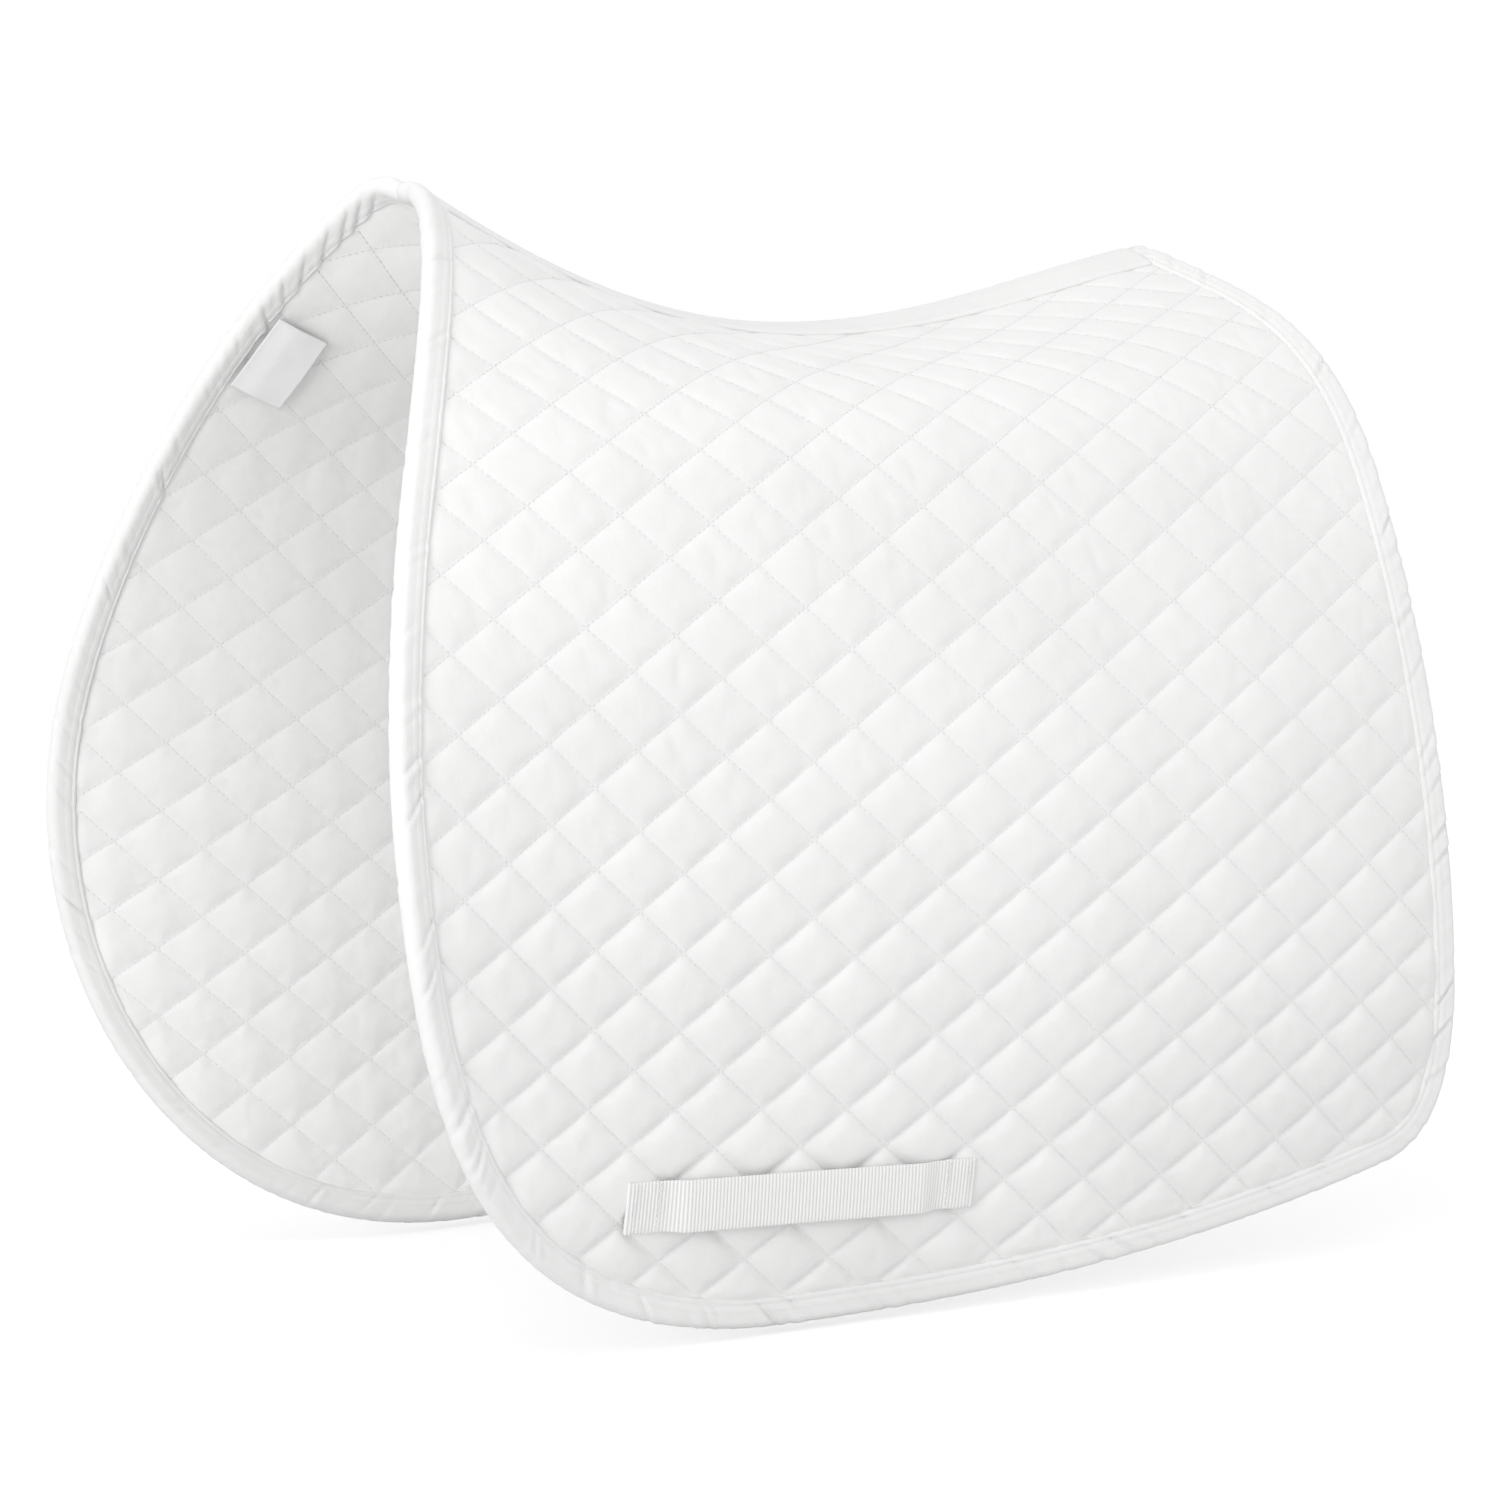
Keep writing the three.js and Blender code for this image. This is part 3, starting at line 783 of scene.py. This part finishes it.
def quilting_stitches(side):
    """Stitches of the diamonds, on the outer sheet and on the lining."""
    per_side = int(math.hypot(DIAMOND_WIDTH, DIAMOND_HEIGHT) / 2 / STITCH_PITCH)
    whole = np.arange(-DIAMOND_REACH, DIAMOND_REACH + 1)
    along = (np.arange(-DIAMOND_REACH * per_side, DIAMOND_REACH * per_side) + 0.5) / per_side
    seam, place_along = (grid.ravel() for grid in np.meshgrid(whole, along, indexing="ij"))
    parts = []
    for along_a in (False, True):
        a, b = (place_along, seam) if along_a else (seam, place_along)
        x, q = diamond_to_fabric(a, b)
        ahead = 0.01
        x2, q2 = diamond_to_fabric(a + ahead * along_a, b + ahead * (not along_a))
        keep = inside_panel(x, q, STITCHES_INSET) & (q - spine_drop(x) > SPINE_TAPE_HALF + 2)
        x, q, x2, q2 = x[keep], q[keep], x2[keep], q2[keep]
        distance, _ = edge_distance(x, q)
        share = swell_share(distance, q - spine_drop(x))
        normals = normal_at(side, x, q)
        for full, sign in ((SEAM_DEPTH, 1), (LINING_SEAM_DEPTH, -1)):
            depth = seam_depth(full, share) - STITCH_LIFT
            depth = depth if sign > 0 else PANEL - depth
            centres = place(side, x, q, depth)
            direction = unit(place(side, x2, q2, depth) - centres)
            parts.append(stitch_shapes(centres, direction, sign * normals, *QUILT_STITCH))
    return parts


def build_panels():
    """The sheets, the filling and the quilting thread of both sides."""
    grid = quilt_grid(DIVISIONS)
    coarse = quilt_grid(DIVISIONS // 2)
    outer, lining = quilted_sheets(grid)
    left_normals = normal_at(SIDES["left"], grid["x"], grid["q"])
    for name, side in SIDES.items():
        normals = mirrored(left_normals, side)
        for layer, points, out in (("outer_shell", outer, normals), ("lining", lining, -normals)):
            points = mirrored(points, side)
            points[:, 2] += shoulder_rise(side, points[:, 0], np.abs(points[:, 1]))
            faces = outward_faces(grid["faces"], points, out)
            piece = sheet_mesh(f"{name}_quilted_{layer}", points, faces, grid)
            thicken(piece, FABRIC, levels=1)
            slot = "quilted_shell" if layer == "outer_shell" else "lining"
            settle(piece, slot, name, f"{name}_crown_{layer}", f"{name}_flap_{layer}")
        batting = batting_solid(f"{name}_batting_sheet", side, coarse)
        settle(batting, "filling", name, f"{name}_crown_batting", f"{name}_flap_batting")
        thread_piece(f"{name}_quilting_stitches", quilting_stitches(side), name)


# ---- binding


def binding_depth(t):
    """Depth of the binding's outer leg at a distance t inside the edge."""
    hem = 0.25 * smooth((t - 7.5) / 1.2)
    pulled = 0.45 * np.exp(-(((t - BINDING_STITCH) / 0.9) ** 2))
    tucked = TUCK * smooth((t - BINDING_LEG + 1.1) / 1.1)
    return -0.95 + 2.0 * smooth((t - 2.5) / 12) - hem + pulled + tucked


def binding_profile():
    """The bound edge's section: [distance in from the edge, depth], direction out, way round."""
    leg = np.linspace(BINDING_LEG, BINDING_TURN, 20)
    turn = np.linspace(0, math.pi, 13)[1:-1]
    middle = PANEL / 2
    reach = middle - binding_depth(np.array(BINDING_TURN))
    outer = np.stack([leg, binding_depth(leg)], -1)
    beyond = BINDING_TURN - (BINDING_TURN + BINDING_OVER) * np.sin(turn)
    edge = np.stack([beyond, middle - reach * np.cos(turn)], -1)
    inner = np.stack([leg[::-1], PANEL - binding_depth(leg[::-1])], -1)
    points = np.concatenate([outer, edge, inner])
    tangent = np.gradient(points, axis=0)
    out = unit(np.stack([-tangent[:, 1], tangent[:, 0]], -1))
    around = length_along(points)
    return points, out, around - around[-1] / 2


def pucker(at, around, centre, slant, width, middle, extent):
    """One slanting pucker across a strip: a soft groove with a ridge beside it."""
    off = (at[:, None] - centre) - slant * around[None, :]
    fade = np.exp(-(((around[None, :] - middle) / extent) ** 2))
    ridge = 0.6 * np.exp(-(((off - 1.7 * width) / width) ** 2))
    return (ridge - np.exp(-((off / width) ** 2))) * fade


def creases(at, around, rng, spacing, depth):
    """Random puckers along a strip."""
    result = np.zeros((len(at), len(around)))
    centre = at[0] + 5
    while centre < at[-1]:
        centre += spacing * rng.uniform(0.35, 1.8)
        window = np.abs(at - centre) < 30
        slant, width = rng.uniform(0.5, 1.3), rng.uniform(1.3, 3.2)
        middle, extent = rng.uniform(-14, 14), rng.uniform(6, 13)
        height = depth * rng.uniform(0.3, 1.0)
        result[window] += height * pucker(at[window], around, centre, slant, width, middle, extent)
    return result


def binding_bumps(profile, around, seed):
    """How far the binding stands out at each place: puckers, and a dimple at each stitch."""
    rng = np.random.RandomState(seed)
    bumps = creases(EDGE_AT, around, rng, 14.0, 1.4)
    bumps += creases(EDGE_AT, around, rng, 6.0, 0.3)
    for centre in WITHERS_GATHERS:
        bumps += 1.2 * pucker(EDGE_AT, around, centre, 1.5, 3.0, 11, 9)
    bumps *= 1 - 0.6 * np.exp(-((around[None, :] / 5) ** 2))
    stitch_dimple = 0.12 * np.cos(2 * math.pi * EDGE_AT / STITCH_PITCH)
    near_stitch = np.exp(-(((profile[:, 0] - BINDING_STITCH) / 1.2) ** 2))
    bumps += stitch_dimple[:, None] * near_stitch[None, :]
    ends = smooth((EDGE_AT - EDGE_AT[0]) / 6) * smooth((EDGE_AT[-1] - EDGE_AT) / 6)
    return bumps * ends[:, None]


def build_binding(name, side, seed):
    """The binding of one side, from the withers round the bottom to the cantle."""
    profile, out, around = binding_profile()
    bumps = binding_bumps(profile, around, seed)
    t = profile[None, :, 0] + bumps * out[None, :, 0]
    depth = profile[None, :, 1] + bumps * out[None, :, 1]
    x = EDGE[:, None, 0] + EDGE_INWARD[:, None, 0] * t
    q = EDGE[:, None, 1] + EDGE_INWARD[:, None, 1] * t
    points = place(side, x, np.maximum(q, spine_drop(x)), depth)
    faces = grid_faces(*x.shape)
    if side < 0:
        faces = faces[:, ::-1]
    fabric = np.stack(np.broadcast_arrays(EDGE_AT[:, None], around[None, :]), -1)
    piece = make_mesh(f"{name}_edge_binding", points, faces, fabric)
    thicken(piece, FABRIC)
    nodes = (f"{name}_flap_binding", "withers_binding", "cantle_binding")
    settle(piece, "binding", name, *nodes)


def build_binding_stitches(name, side):
    x = EDGE[:, 0] + EDGE_INWARD[:, 0] * BINDING_STITCH
    q = np.maximum(EDGE[:, 1] + EDGE_INWARD[:, 1] * BINDING_STITCH, spine_drop(x))
    low = binding_depth(np.array(BINDING_STITCH)) - 0.1
    parts = [row_of_stitches(side, x, q, low), row_of_stitches(side, x, q, PANEL - low, -1)]
    nodes = (f"{name}_flap_binding_thread", "withers_binding_thread", "cantle_binding_thread")
    thread_piece(f"{name}_binding_stitches", parts, name, *nodes)


# ---- tapes along the spine


def tape_strip(name, half, centre_depth, side_depth, seed, inner):
    """A tape over the spine seam. An inner tape lies on the horse side."""
    rng = np.random.RandomState(seed)
    x = np.arange(WITHERS["x"] + TAPE_INSET, CANTLE["x"] - TAPE_INSET, 2.0)
    aside = np.linspace(-half, half, 55)
    bumps = creases(x, aside, rng, 16.0, 0.3) + creases(x, -aside, rng, 16.0, 0.3)
    share = smooth(np.abs(aside) / half)
    tucked = TUCK * smooth((np.abs(aside) - half + 1.5) / 1.5)
    depth = centre_depth + (side_depth - centre_depth) * share + tucked
    to_end = np.minimum(x - x[0], x[-1] - x)
    end_tucked = 1.3 * TUCK * smooth(1 - to_end / 4)
    depth = depth[None, :] + end_tucked[:, None] - bumps
    if inner:
        depth = PANEL - depth
    grid_x = np.repeat(x[:, None], len(aside), 1)
    side = np.where(aside < 0, -1.0, 1.0)[None, :] * np.ones_like(grid_x)
    q = spine_drop(grid_x) + np.abs(aside)[None, :]
    points = place(side, grid_x, q, depth)
    faces = grid_faces(*grid_x.shape)
    if inner:
        faces = faces[:, ::-1]
    fabric = np.stack([grid_x, np.repeat(aside[None, :], len(x), 0)], -1)
    return make_mesh(name, points, faces, fabric)


def build_tapes():
    """The tape along the ridge with its two rows of stitches, and the tape under the seam."""
    tape = tape_strip("spine_tape_cover", SPINE_TAPE_HALF, -1.3, 0.7, 31, False)
    thicken(tape, FABRIC)
    settle(tape, "binding", "crown", "spine_tape")
    seam = tape_strip("underside_seam_cover", SEAM_TAPE_HALF, 0.2, 1.1, 32, True)
    thicken(seam, FABRIC)
    settle(seam, "lining", "crown", "underside_seam_tape")
    for name, side in SIDES.items():
        x = np.arange(WITHERS["x"] + 15, CANTLE["x"] - 15, 2.0)
        q = spine_drop(x) + SPINE_TAPE_HALF - 2
        row = row_of_stitches(side, x, q, 0.5)
        thread_piece(f"{name}_spine_stitches", [row], "crown", f"{name}_spine_thread")


# ---- girth loops


def loop_strip():
    """The webbing's middle line, as [distance along the loop, height over the cloth]."""
    length = LOOP_END[0] - LOOP_START[0]
    end = length / 2
    low, high = FOOT_HEIGHT, FOOT_HEIGHT + LOOP_WEBBING + 0.1
    turn = np.linspace(-math.pi / 2, math.pi / 2, 9)
    radius = (high - low) / 2
    hook = np.stack([end + radius * np.cos(turn), (low + high) / 2 + radius * np.sin(turn)], -1)
    under = np.array([[end - LOOP_FOOT + 3, low]])
    top_x = np.linspace(end, -end, 120)
    rise = smooth((end - LOOP_FOOT - np.abs(top_x)) / LOOP_RAMP)
    top = np.stack([top_x, high + (LOOP_RISE - high) * rise], -1)
    far_hook = hook[::-1] * [-1, 1]
    far_under = under * [-1, 1]
    return np.concatenate([under, hook, top[1:-1], far_hook, far_under])


def power_wave(wave, power):
    """A wave made squarer by a power below 1, keeping its sign."""
    return np.sign(wave) * np.abs(wave) ** power


def build_webbing(name, side):
    """The strip of one loop, with its ribs across."""
    line, at = resample(loop_strip(), RIB_PITCH / 4)
    tangent = unit(np.gradient(line, axis=0))
    ribs = np.cos(2 * math.pi * at / RIB_PITCH)[:, None]
    turn = np.linspace(0, 2 * math.pi, 25)[:-1]
    across = (LOOP_WIDTH / 2 + 0.12 * ribs) * power_wave(np.cos(turn), 0.35)
    thick = (LOOP_WEBBING / 2 - RIB_HEIGHT + RIB_HEIGHT * ribs) * power_wave(np.sin(turn), 0.6)
    along = line[:, :1] - tangent[:, 1:] * thick
    lean = LOOP_LEAN * (line[:, 1:] / LOOP_RISE) * (across / (LOOP_WIDTH / 2))
    points = loop_point(side, along, across, line[:, 1:] + tangent[:, :1] * thick - lean)
    rows, columns = across.shape
    faces = grid_faces(rows, columns, closed=True).tolist()
    faces += [list(range(columns))[::-1], list(range((rows - 1) * columns, rows * columns))]
    piece = new_piece(f"{name}_girth_webbing", points.reshape(-1, 3), faces)
    set_fabric(piece, np.stack([np.repeat(at, columns), across.ravel()], -1))
    recalculate_outside(piece)
    settle(piece, "webbing", f"{name}_flap", f"{name}_girth_loop")


def build_loop_stitches(name, side):
    """Two rows of stitches across the webbing at each end of the loop."""
    end = (LOOP_END[0] - LOOP_START[0]) / 2
    across = np.linspace(-LOOP_WIDTH / 2 + 1.5, LOOP_WIDTH / 2 - 1.5, 9)
    top = np.full(len(across), 0.3 + 1.5 * LOOP_WEBBING + 0.1)
    for place_name, sign in (("front", -1), ("rear", 1)):
        parts = []
        for inset in (3.0, LOOP_FOOT - 4):
            along = np.full(len(across), sign * (end - inset))
            centres = loop_point(side, along, across, top)
            above = loop_point(side, along, across, top + 1)
            direction = unit(loop_point(side, along, across + 1, top) - centres)
            parts.append(stitch_shapes(centres, direction, above - centres, *LOOP_STITCH))
        row = f"{name}_loop_{place_name}_stitch"
        thread_piece(f"{row}es", parts, f"{name}_flap", f"{row}ing")


def loop_point(side, along, across, height):
    """A point of the girth loop from its own coordinates, over the flap's surface."""
    start, end = np.array(LOOP_START), np.array(LOOP_END)
    direction = (end - start) / np.linalg.norm(end - start)
    middle = (start + end) / 2
    x = middle[0] + along * direction[0] - across * direction[1]
    z = middle[1] + along * direction[1] + across * direction[0]
    s = 2 - z / FOLD_Z
    return surface(side, x, s) + surface_normal(side, x, s) * np.asarray(height)[..., None]


def recalculate_outside(piece):
    """Turns a closed mesh's faces outwards."""
    work = bmesh.new()
    work.from_mesh(piece.data)
    bmesh.ops.recalc_face_normals(work, faces=work.faces)
    work.to_mesh(piece.data)
    work.free()


# ---- care label


def label_axes():
    joint = JOINTS["label_flip"]
    origin = np.array(joint["pos_m"]) / MM
    down = np.array(joint["axis"])
    down /= np.linalg.norm(down)
    low, high = (np.array(corner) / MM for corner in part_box("care_label"))
    inward = (low + high) / 2 - origin
    inward -= down * (inward @ down)
    inward /= np.linalg.norm(inward)
    return origin, down, inward, np.cross(down, inward)


def build_label():
    """A blank satin label, sewn along one edge and lifting a little at its free edge."""
    origin, down, inward, off = label_axes()
    u = np.linspace(-LABEL_LENGTH / 2, LABEL_LENGTH / 2, 40)
    v = np.linspace(0, LABEL_WIDTH, 30)
    gu, gv = np.meshgrid(u, v, indexing="ij")
    lift = -1.6 + 2.2 * smooth(gv / 14) + 0.5 * np.sin(gu / 9 + 1) * (gv / LABEL_WIDTH) ** 2
    lift += 0.8 * (gv / LABEL_WIDTH) ** 3
    points = origin + gu[..., None] * down + gv[..., None] * inward + lift[..., None] * off
    fabric = np.stack([gu, gv], -1)
    piece = make_mesh("blank_care_label", points, grid_faces(*gu.shape), fabric)
    thicken(piece, LABEL_CLOTH)
    settle(piece, "label", "care_label", "care_label")

    at = (np.arange(LABEL_STITCHES) - (LABEL_STITCHES - 1) / 2)[:, None] * 3.0
    centres = origin + at * down + 1.6 * inward - 1.5 * off
    shapes = stitch_shapes(centres, down + 0 * centres, off + 0 * centres, *LABEL_STITCH)
    thread_piece("care_label_stitches", [shapes], "care_label")


# ---- materials


class Nodes:
    """Short names for building a material's nodes."""

    def __init__(self, name):
        self.material = bpy.data.materials.new(name)
        self.material.use_nodes = True
        self.tree = self.material.node_tree
        self.shader = self.tree.nodes["Principled BSDF"]

    def link(self, value, socket):
        """Sets a socket to a plain value, or joins another node's output to it."""
        if isinstance(value, (int, float, tuple)):
            socket.default_value = value
        else:
            self.tree.links.new(value, socket)

    def fill(self, node, inputs):
        """Links inputs by their names, with _ in place of spaces."""
        for name, value in inputs.items():
            self.link(value, node.inputs[name.replace("_", " ")])

    def shade(self, **inputs):
        self.fill(self.shader, inputs)

    def node(self, kind, **inputs):
        node = self.tree.nodes.new(f"ShaderNode{kind}")
        self.fill(node, inputs)
        return node

    def math(self, operation, first, second=0.0):
        node = self.node("Math")
        node.operation = operation
        self.link(first, node.inputs[0])
        self.link(second, node.inputs[1])
        return node.outputs[0]

    def waves(self, value, pitch):
        """A sine along the value, with the pitch in metres."""
        return self.math("SINE", self.math("MULTIPLY", value, 2 * math.pi / pitch))

    def noise(self, vector, scale, detail=2.0):
        node = self.node("TexNoise", Scale=scale, Detail=detail, Roughness=0.5, Vector=vector)
        return node.outputs["Fac"]

    def fabric(self):
        node = self.node("Attribute")
        node.attribute_name = "fabric"
        return node.outputs["Vector"]

    def place(self):
        return self.node("TexCoord").outputs["Object"]

    def split(self, vector):
        return self.node("SeparateXYZ", Vector=vector).outputs

    def ramp(self, value, low, high, dark, light):
        """Colours from dark to light while the value goes from low to high."""
        node = self.node("MapRange")
        node.data_type = "FLOAT_VECTOR"
        for number, setting in enumerate((grey(low), grey(high), dark, light), 7):
            self.link(setting, node.inputs[number])
        combine = self.node("CombineXYZ", X=value, Y=value, Z=value)
        self.link(combine.outputs[0], node.inputs[6])
        return node.outputs[1]

    def bump(self, height, strength, distance, previous=None):
        node = self.node("Bump", Strength=strength, Distance=distance, Height=height)
        if previous is not None:
            self.link(previous, node.inputs["Normal"])
        return node.outputs[0]


def grey(value):
    return (value,) * 3


def weave_height(nodes, vector, pitch, diagonal=False):
    """A plain weave: threads over and under each other in both directions."""
    x, y, _ = nodes.split(vector)
    if diagonal:
        x, y = nodes.math("ADD", x, y), nodes.math("SUBTRACT", x, y)
    return nodes.math("MULTIPLY", nodes.waves(x, pitch * MM), nodes.waves(y, pitch * MM))


def cotton(name, colour, roughness=0.9, pitch=0.9, diagonal=False):
    """Matte cotton: weave, fibre fuzz, slight unevenness of colour and roughness."""
    nodes = Nodes(name)
    vector = nodes.fabric()
    patches = nodes.noise(nodes.place(), 14.0, 3.0)
    fibres = nodes.noise(vector, 1600.0)
    weave = weave_height(nodes, vector, pitch, diagonal)
    dark = tuple(c * 0.975 for c in colour)
    light = tuple(min(1.0, c * 1.012) for c in colour)
    rumples = nodes.bump(nodes.noise(nodes.place(), 90.0, 3.0), 0.5, 0.0012)
    fuzz = nodes.bump(fibres, 0.35, 0.0003, rumples)
    nodes.shade(
        Base_Color=nodes.ramp(patches, 0.3, 0.7, dark, light),
        Roughness=nodes.math("ADD", nodes.math("MULTIPLY", fibres, 0.12), roughness - 0.06),
        Sheen_Weight=0.25,
        Sheen_Roughness=0.4,
        Specular_IOR_Level=0.25,
        Normal=nodes.bump(weave, 0.35, 0.00012, fuzz),
    )
    return nodes.material


def webbing_material():
    """Ribbed webbing: fine warp lines along the strip over its modelled ribs, and painted shade in
    stripes across it, one at each rib.
    """
    nodes = Nodes("webbing")
    vector = nodes.fabric()
    x, y, _ = nodes.split(vector)
    ribs = nodes.waves(x, RIB_PITCH * MM)
    fuzz = nodes.bump(nodes.noise(vector, 1800.0), 0.25, 0.0003)
    nodes.shade(
        # painted shade: the colour is darker in stripes across the strip at the rib pitch, on one
        # flank of each rib
        Base_Color=nodes.ramp(ribs, -1.0, 1.0, (0.74, 0.74, 0.735), (0.92, 0.92, 0.915)),
        Roughness=0.78,
        Sheen_Weight=0.15,
        Normal=nodes.bump(nodes.waves(y, 0.0008), 0.4, 0.0001, fuzz),
    )
    return nodes.material


def thread_material():
    """Twisted thread: fine strands, with painted shade in the grooves between them."""
    nodes = Nodes("thread")
    x, y, z = nodes.split(nodes.place())
    strands = nodes.waves(nodes.math("ADD", nodes.math("ADD", x, y), z), 0.0005)
    nodes.shade(
        # painted shade: the colour is darker where the strands' bump is low, in the grooves between
        # strands
        Base_Color=nodes.ramp(strands, -1.0, 1.0, grey(0.84), grey(0.92)),
        Roughness=0.5,
        Sheen_Weight=0.2,
        Normal=nodes.bump(strands, 0.4, 0.0001),
    )
    return nodes.material


def satin_material():
    """Satin: fine rows of a single thread direction and a soft shine."""
    nodes = Nodes("label")
    vector = nodes.fabric()
    rows = nodes.waves(nodes.split(vector)[1], 0.0004)
    nodes.shade(
        Base_Color=nodes.ramp(nodes.noise(vector, 60.0), 0.3, 0.7, grey(0.88), grey(0.92)),
        Roughness=0.42,
        Sheen_Weight=0.1,
        Normal=nodes.bump(rows, 0.3, 0.00008),
    )
    return nodes.material


def build_materials():
    MATERIALS["quilted_shell"] = cotton("quilted_shell", (0.89, 0.89, 0.885))
    MATERIALS["lining"] = cotton("lining", (0.93, 0.93, 0.925), 0.93, pitch=1.0)
    MATERIALS["filling"] = cotton("filling", (0.82, 0.82, 0.8), 0.97, pitch=2.0)
    MATERIALS["binding"] = cotton("binding", (0.89, 0.89, 0.885), 0.85, pitch=0.7, diagonal=True)
    MATERIALS["webbing"] = webbing_material()
    MATERIALS["thread"] = thread_material()
    MATERIALS["label"] = satin_material()


# ---- stage


def build_floor():
    """A plain pale floor that looks evenly lit to the camera."""
    corners = [(-1, -1), (1, -1), (1, 1), (-1, 1)]
    points = np.array([[x * FLOOR_HALF, y * FLOOR_HALF, FLOOR_Z] for x, y in corners])
    floor = make_mesh("floor", points, np.array([[0, 1, 2, 3]]))
    nodes = Nodes("floor")
    rays = nodes.node("LightPath")
    nodes.shade(
        Base_Color=(0.72, 0.72, 0.72, 1),
        Roughness=0.9,
        Emission_Color=WHITE,
        Emission_Strength=nodes.math("MULTIPLY", rays.outputs["Is Camera Ray"], 0.4),
    )
    floor.data.materials.append(nodes.material)


def build_world():
    """Soft white light from all round, and a white backdrop for the camera."""
    world = bpy.data.worlds.new("studio")
    bpy.context.scene.world = world
    world.use_nodes = True
    tree = world.node_tree
    path = tree.nodes.new("ShaderNodeLightPath")
    mix = tree.nodes.new("ShaderNodeMixShader")
    backdrop = tree.nodes.new("ShaderNodeBackground")
    tree.links.new(path.outputs["Is Camera Ray"], mix.inputs[0])
    for number, (node, strength) in enumerate(((tree.nodes["Background"], 0.85), (backdrop, 1.0))):
        node.inputs["Color"].default_value = WHITE
        node.inputs["Strength"].default_value = strength
        tree.links.new(node.outputs[0], mix.inputs[1 + number])
    tree.links.new(mix.outputs[0], tree.nodes["World Output"].inputs["Surface"])


def build_camera():
    """The camera of the photo, as worked out from the pad's outline."""
    data = bpy.data.cameras.new("camera")
    data.lens = CAMERA_LENS
    data.sensor_width = 36
    camera = bpy.data.objects.new("camera", data)
    bpy.context.scene.collection.objects.link(camera)
    turn, rise = math.radians(CAMERA_TURN), math.radians(CAMERA_RISE)
    level = math.cos(rise)
    forward = Vector((math.sin(turn) * level, math.cos(turn) * level, -math.sin(rise)))
    camera.location = Vector(CAMERA_TARGET) - forward * CAMERA_DISTANCE
    camera.rotation_mode = "QUATERNION"
    camera.rotation_quaternion = forward.to_track_quat("-Z", "Y")
    bpy.context.scene.camera = camera


def build_stage():
    bpy.context.scene.view_settings.view_transform = "Standard"
    build_floor()
    build_world()
    middle = Vector((0, 0, (cad_low.z + cad_high.z) / 2))
    area_light("key", middle, (-1.3, -0.8, 2.3), 1.0, 9)
    area_light("front", middle, (-2.2, -1.2, 0.1), 1.2, 21)
    area_light("rear", middle, (2.2, -1.6, 0.5), 1.2, 4)
    build_camera()


def area_light(name, target, offset, size, energy):
    data = bpy.data.lights.new(name, "AREA")
    data.size = size
    data.energy = energy
    light = bpy.data.objects.new(name, data)
    bpy.context.scene.collection.objects.link(light)
    light.location = target + Vector(offset)
    light.rotation_mode = "QUATERNION"
    light.rotation_quaternion = (-Vector(offset)).to_track_quat("-Z", "Y")


build_materials()
build_panels()
for number, (side_name, side_sign) in enumerate(SIDES.items()):
    build_binding(side_name, side_sign, 11 + number)
    build_binding_stitches(side_name, side_sign)
    build_webbing(side_name, side_sign)
    build_loop_stitches(side_name, side_sign)
build_tapes()
build_label()
build_stage()
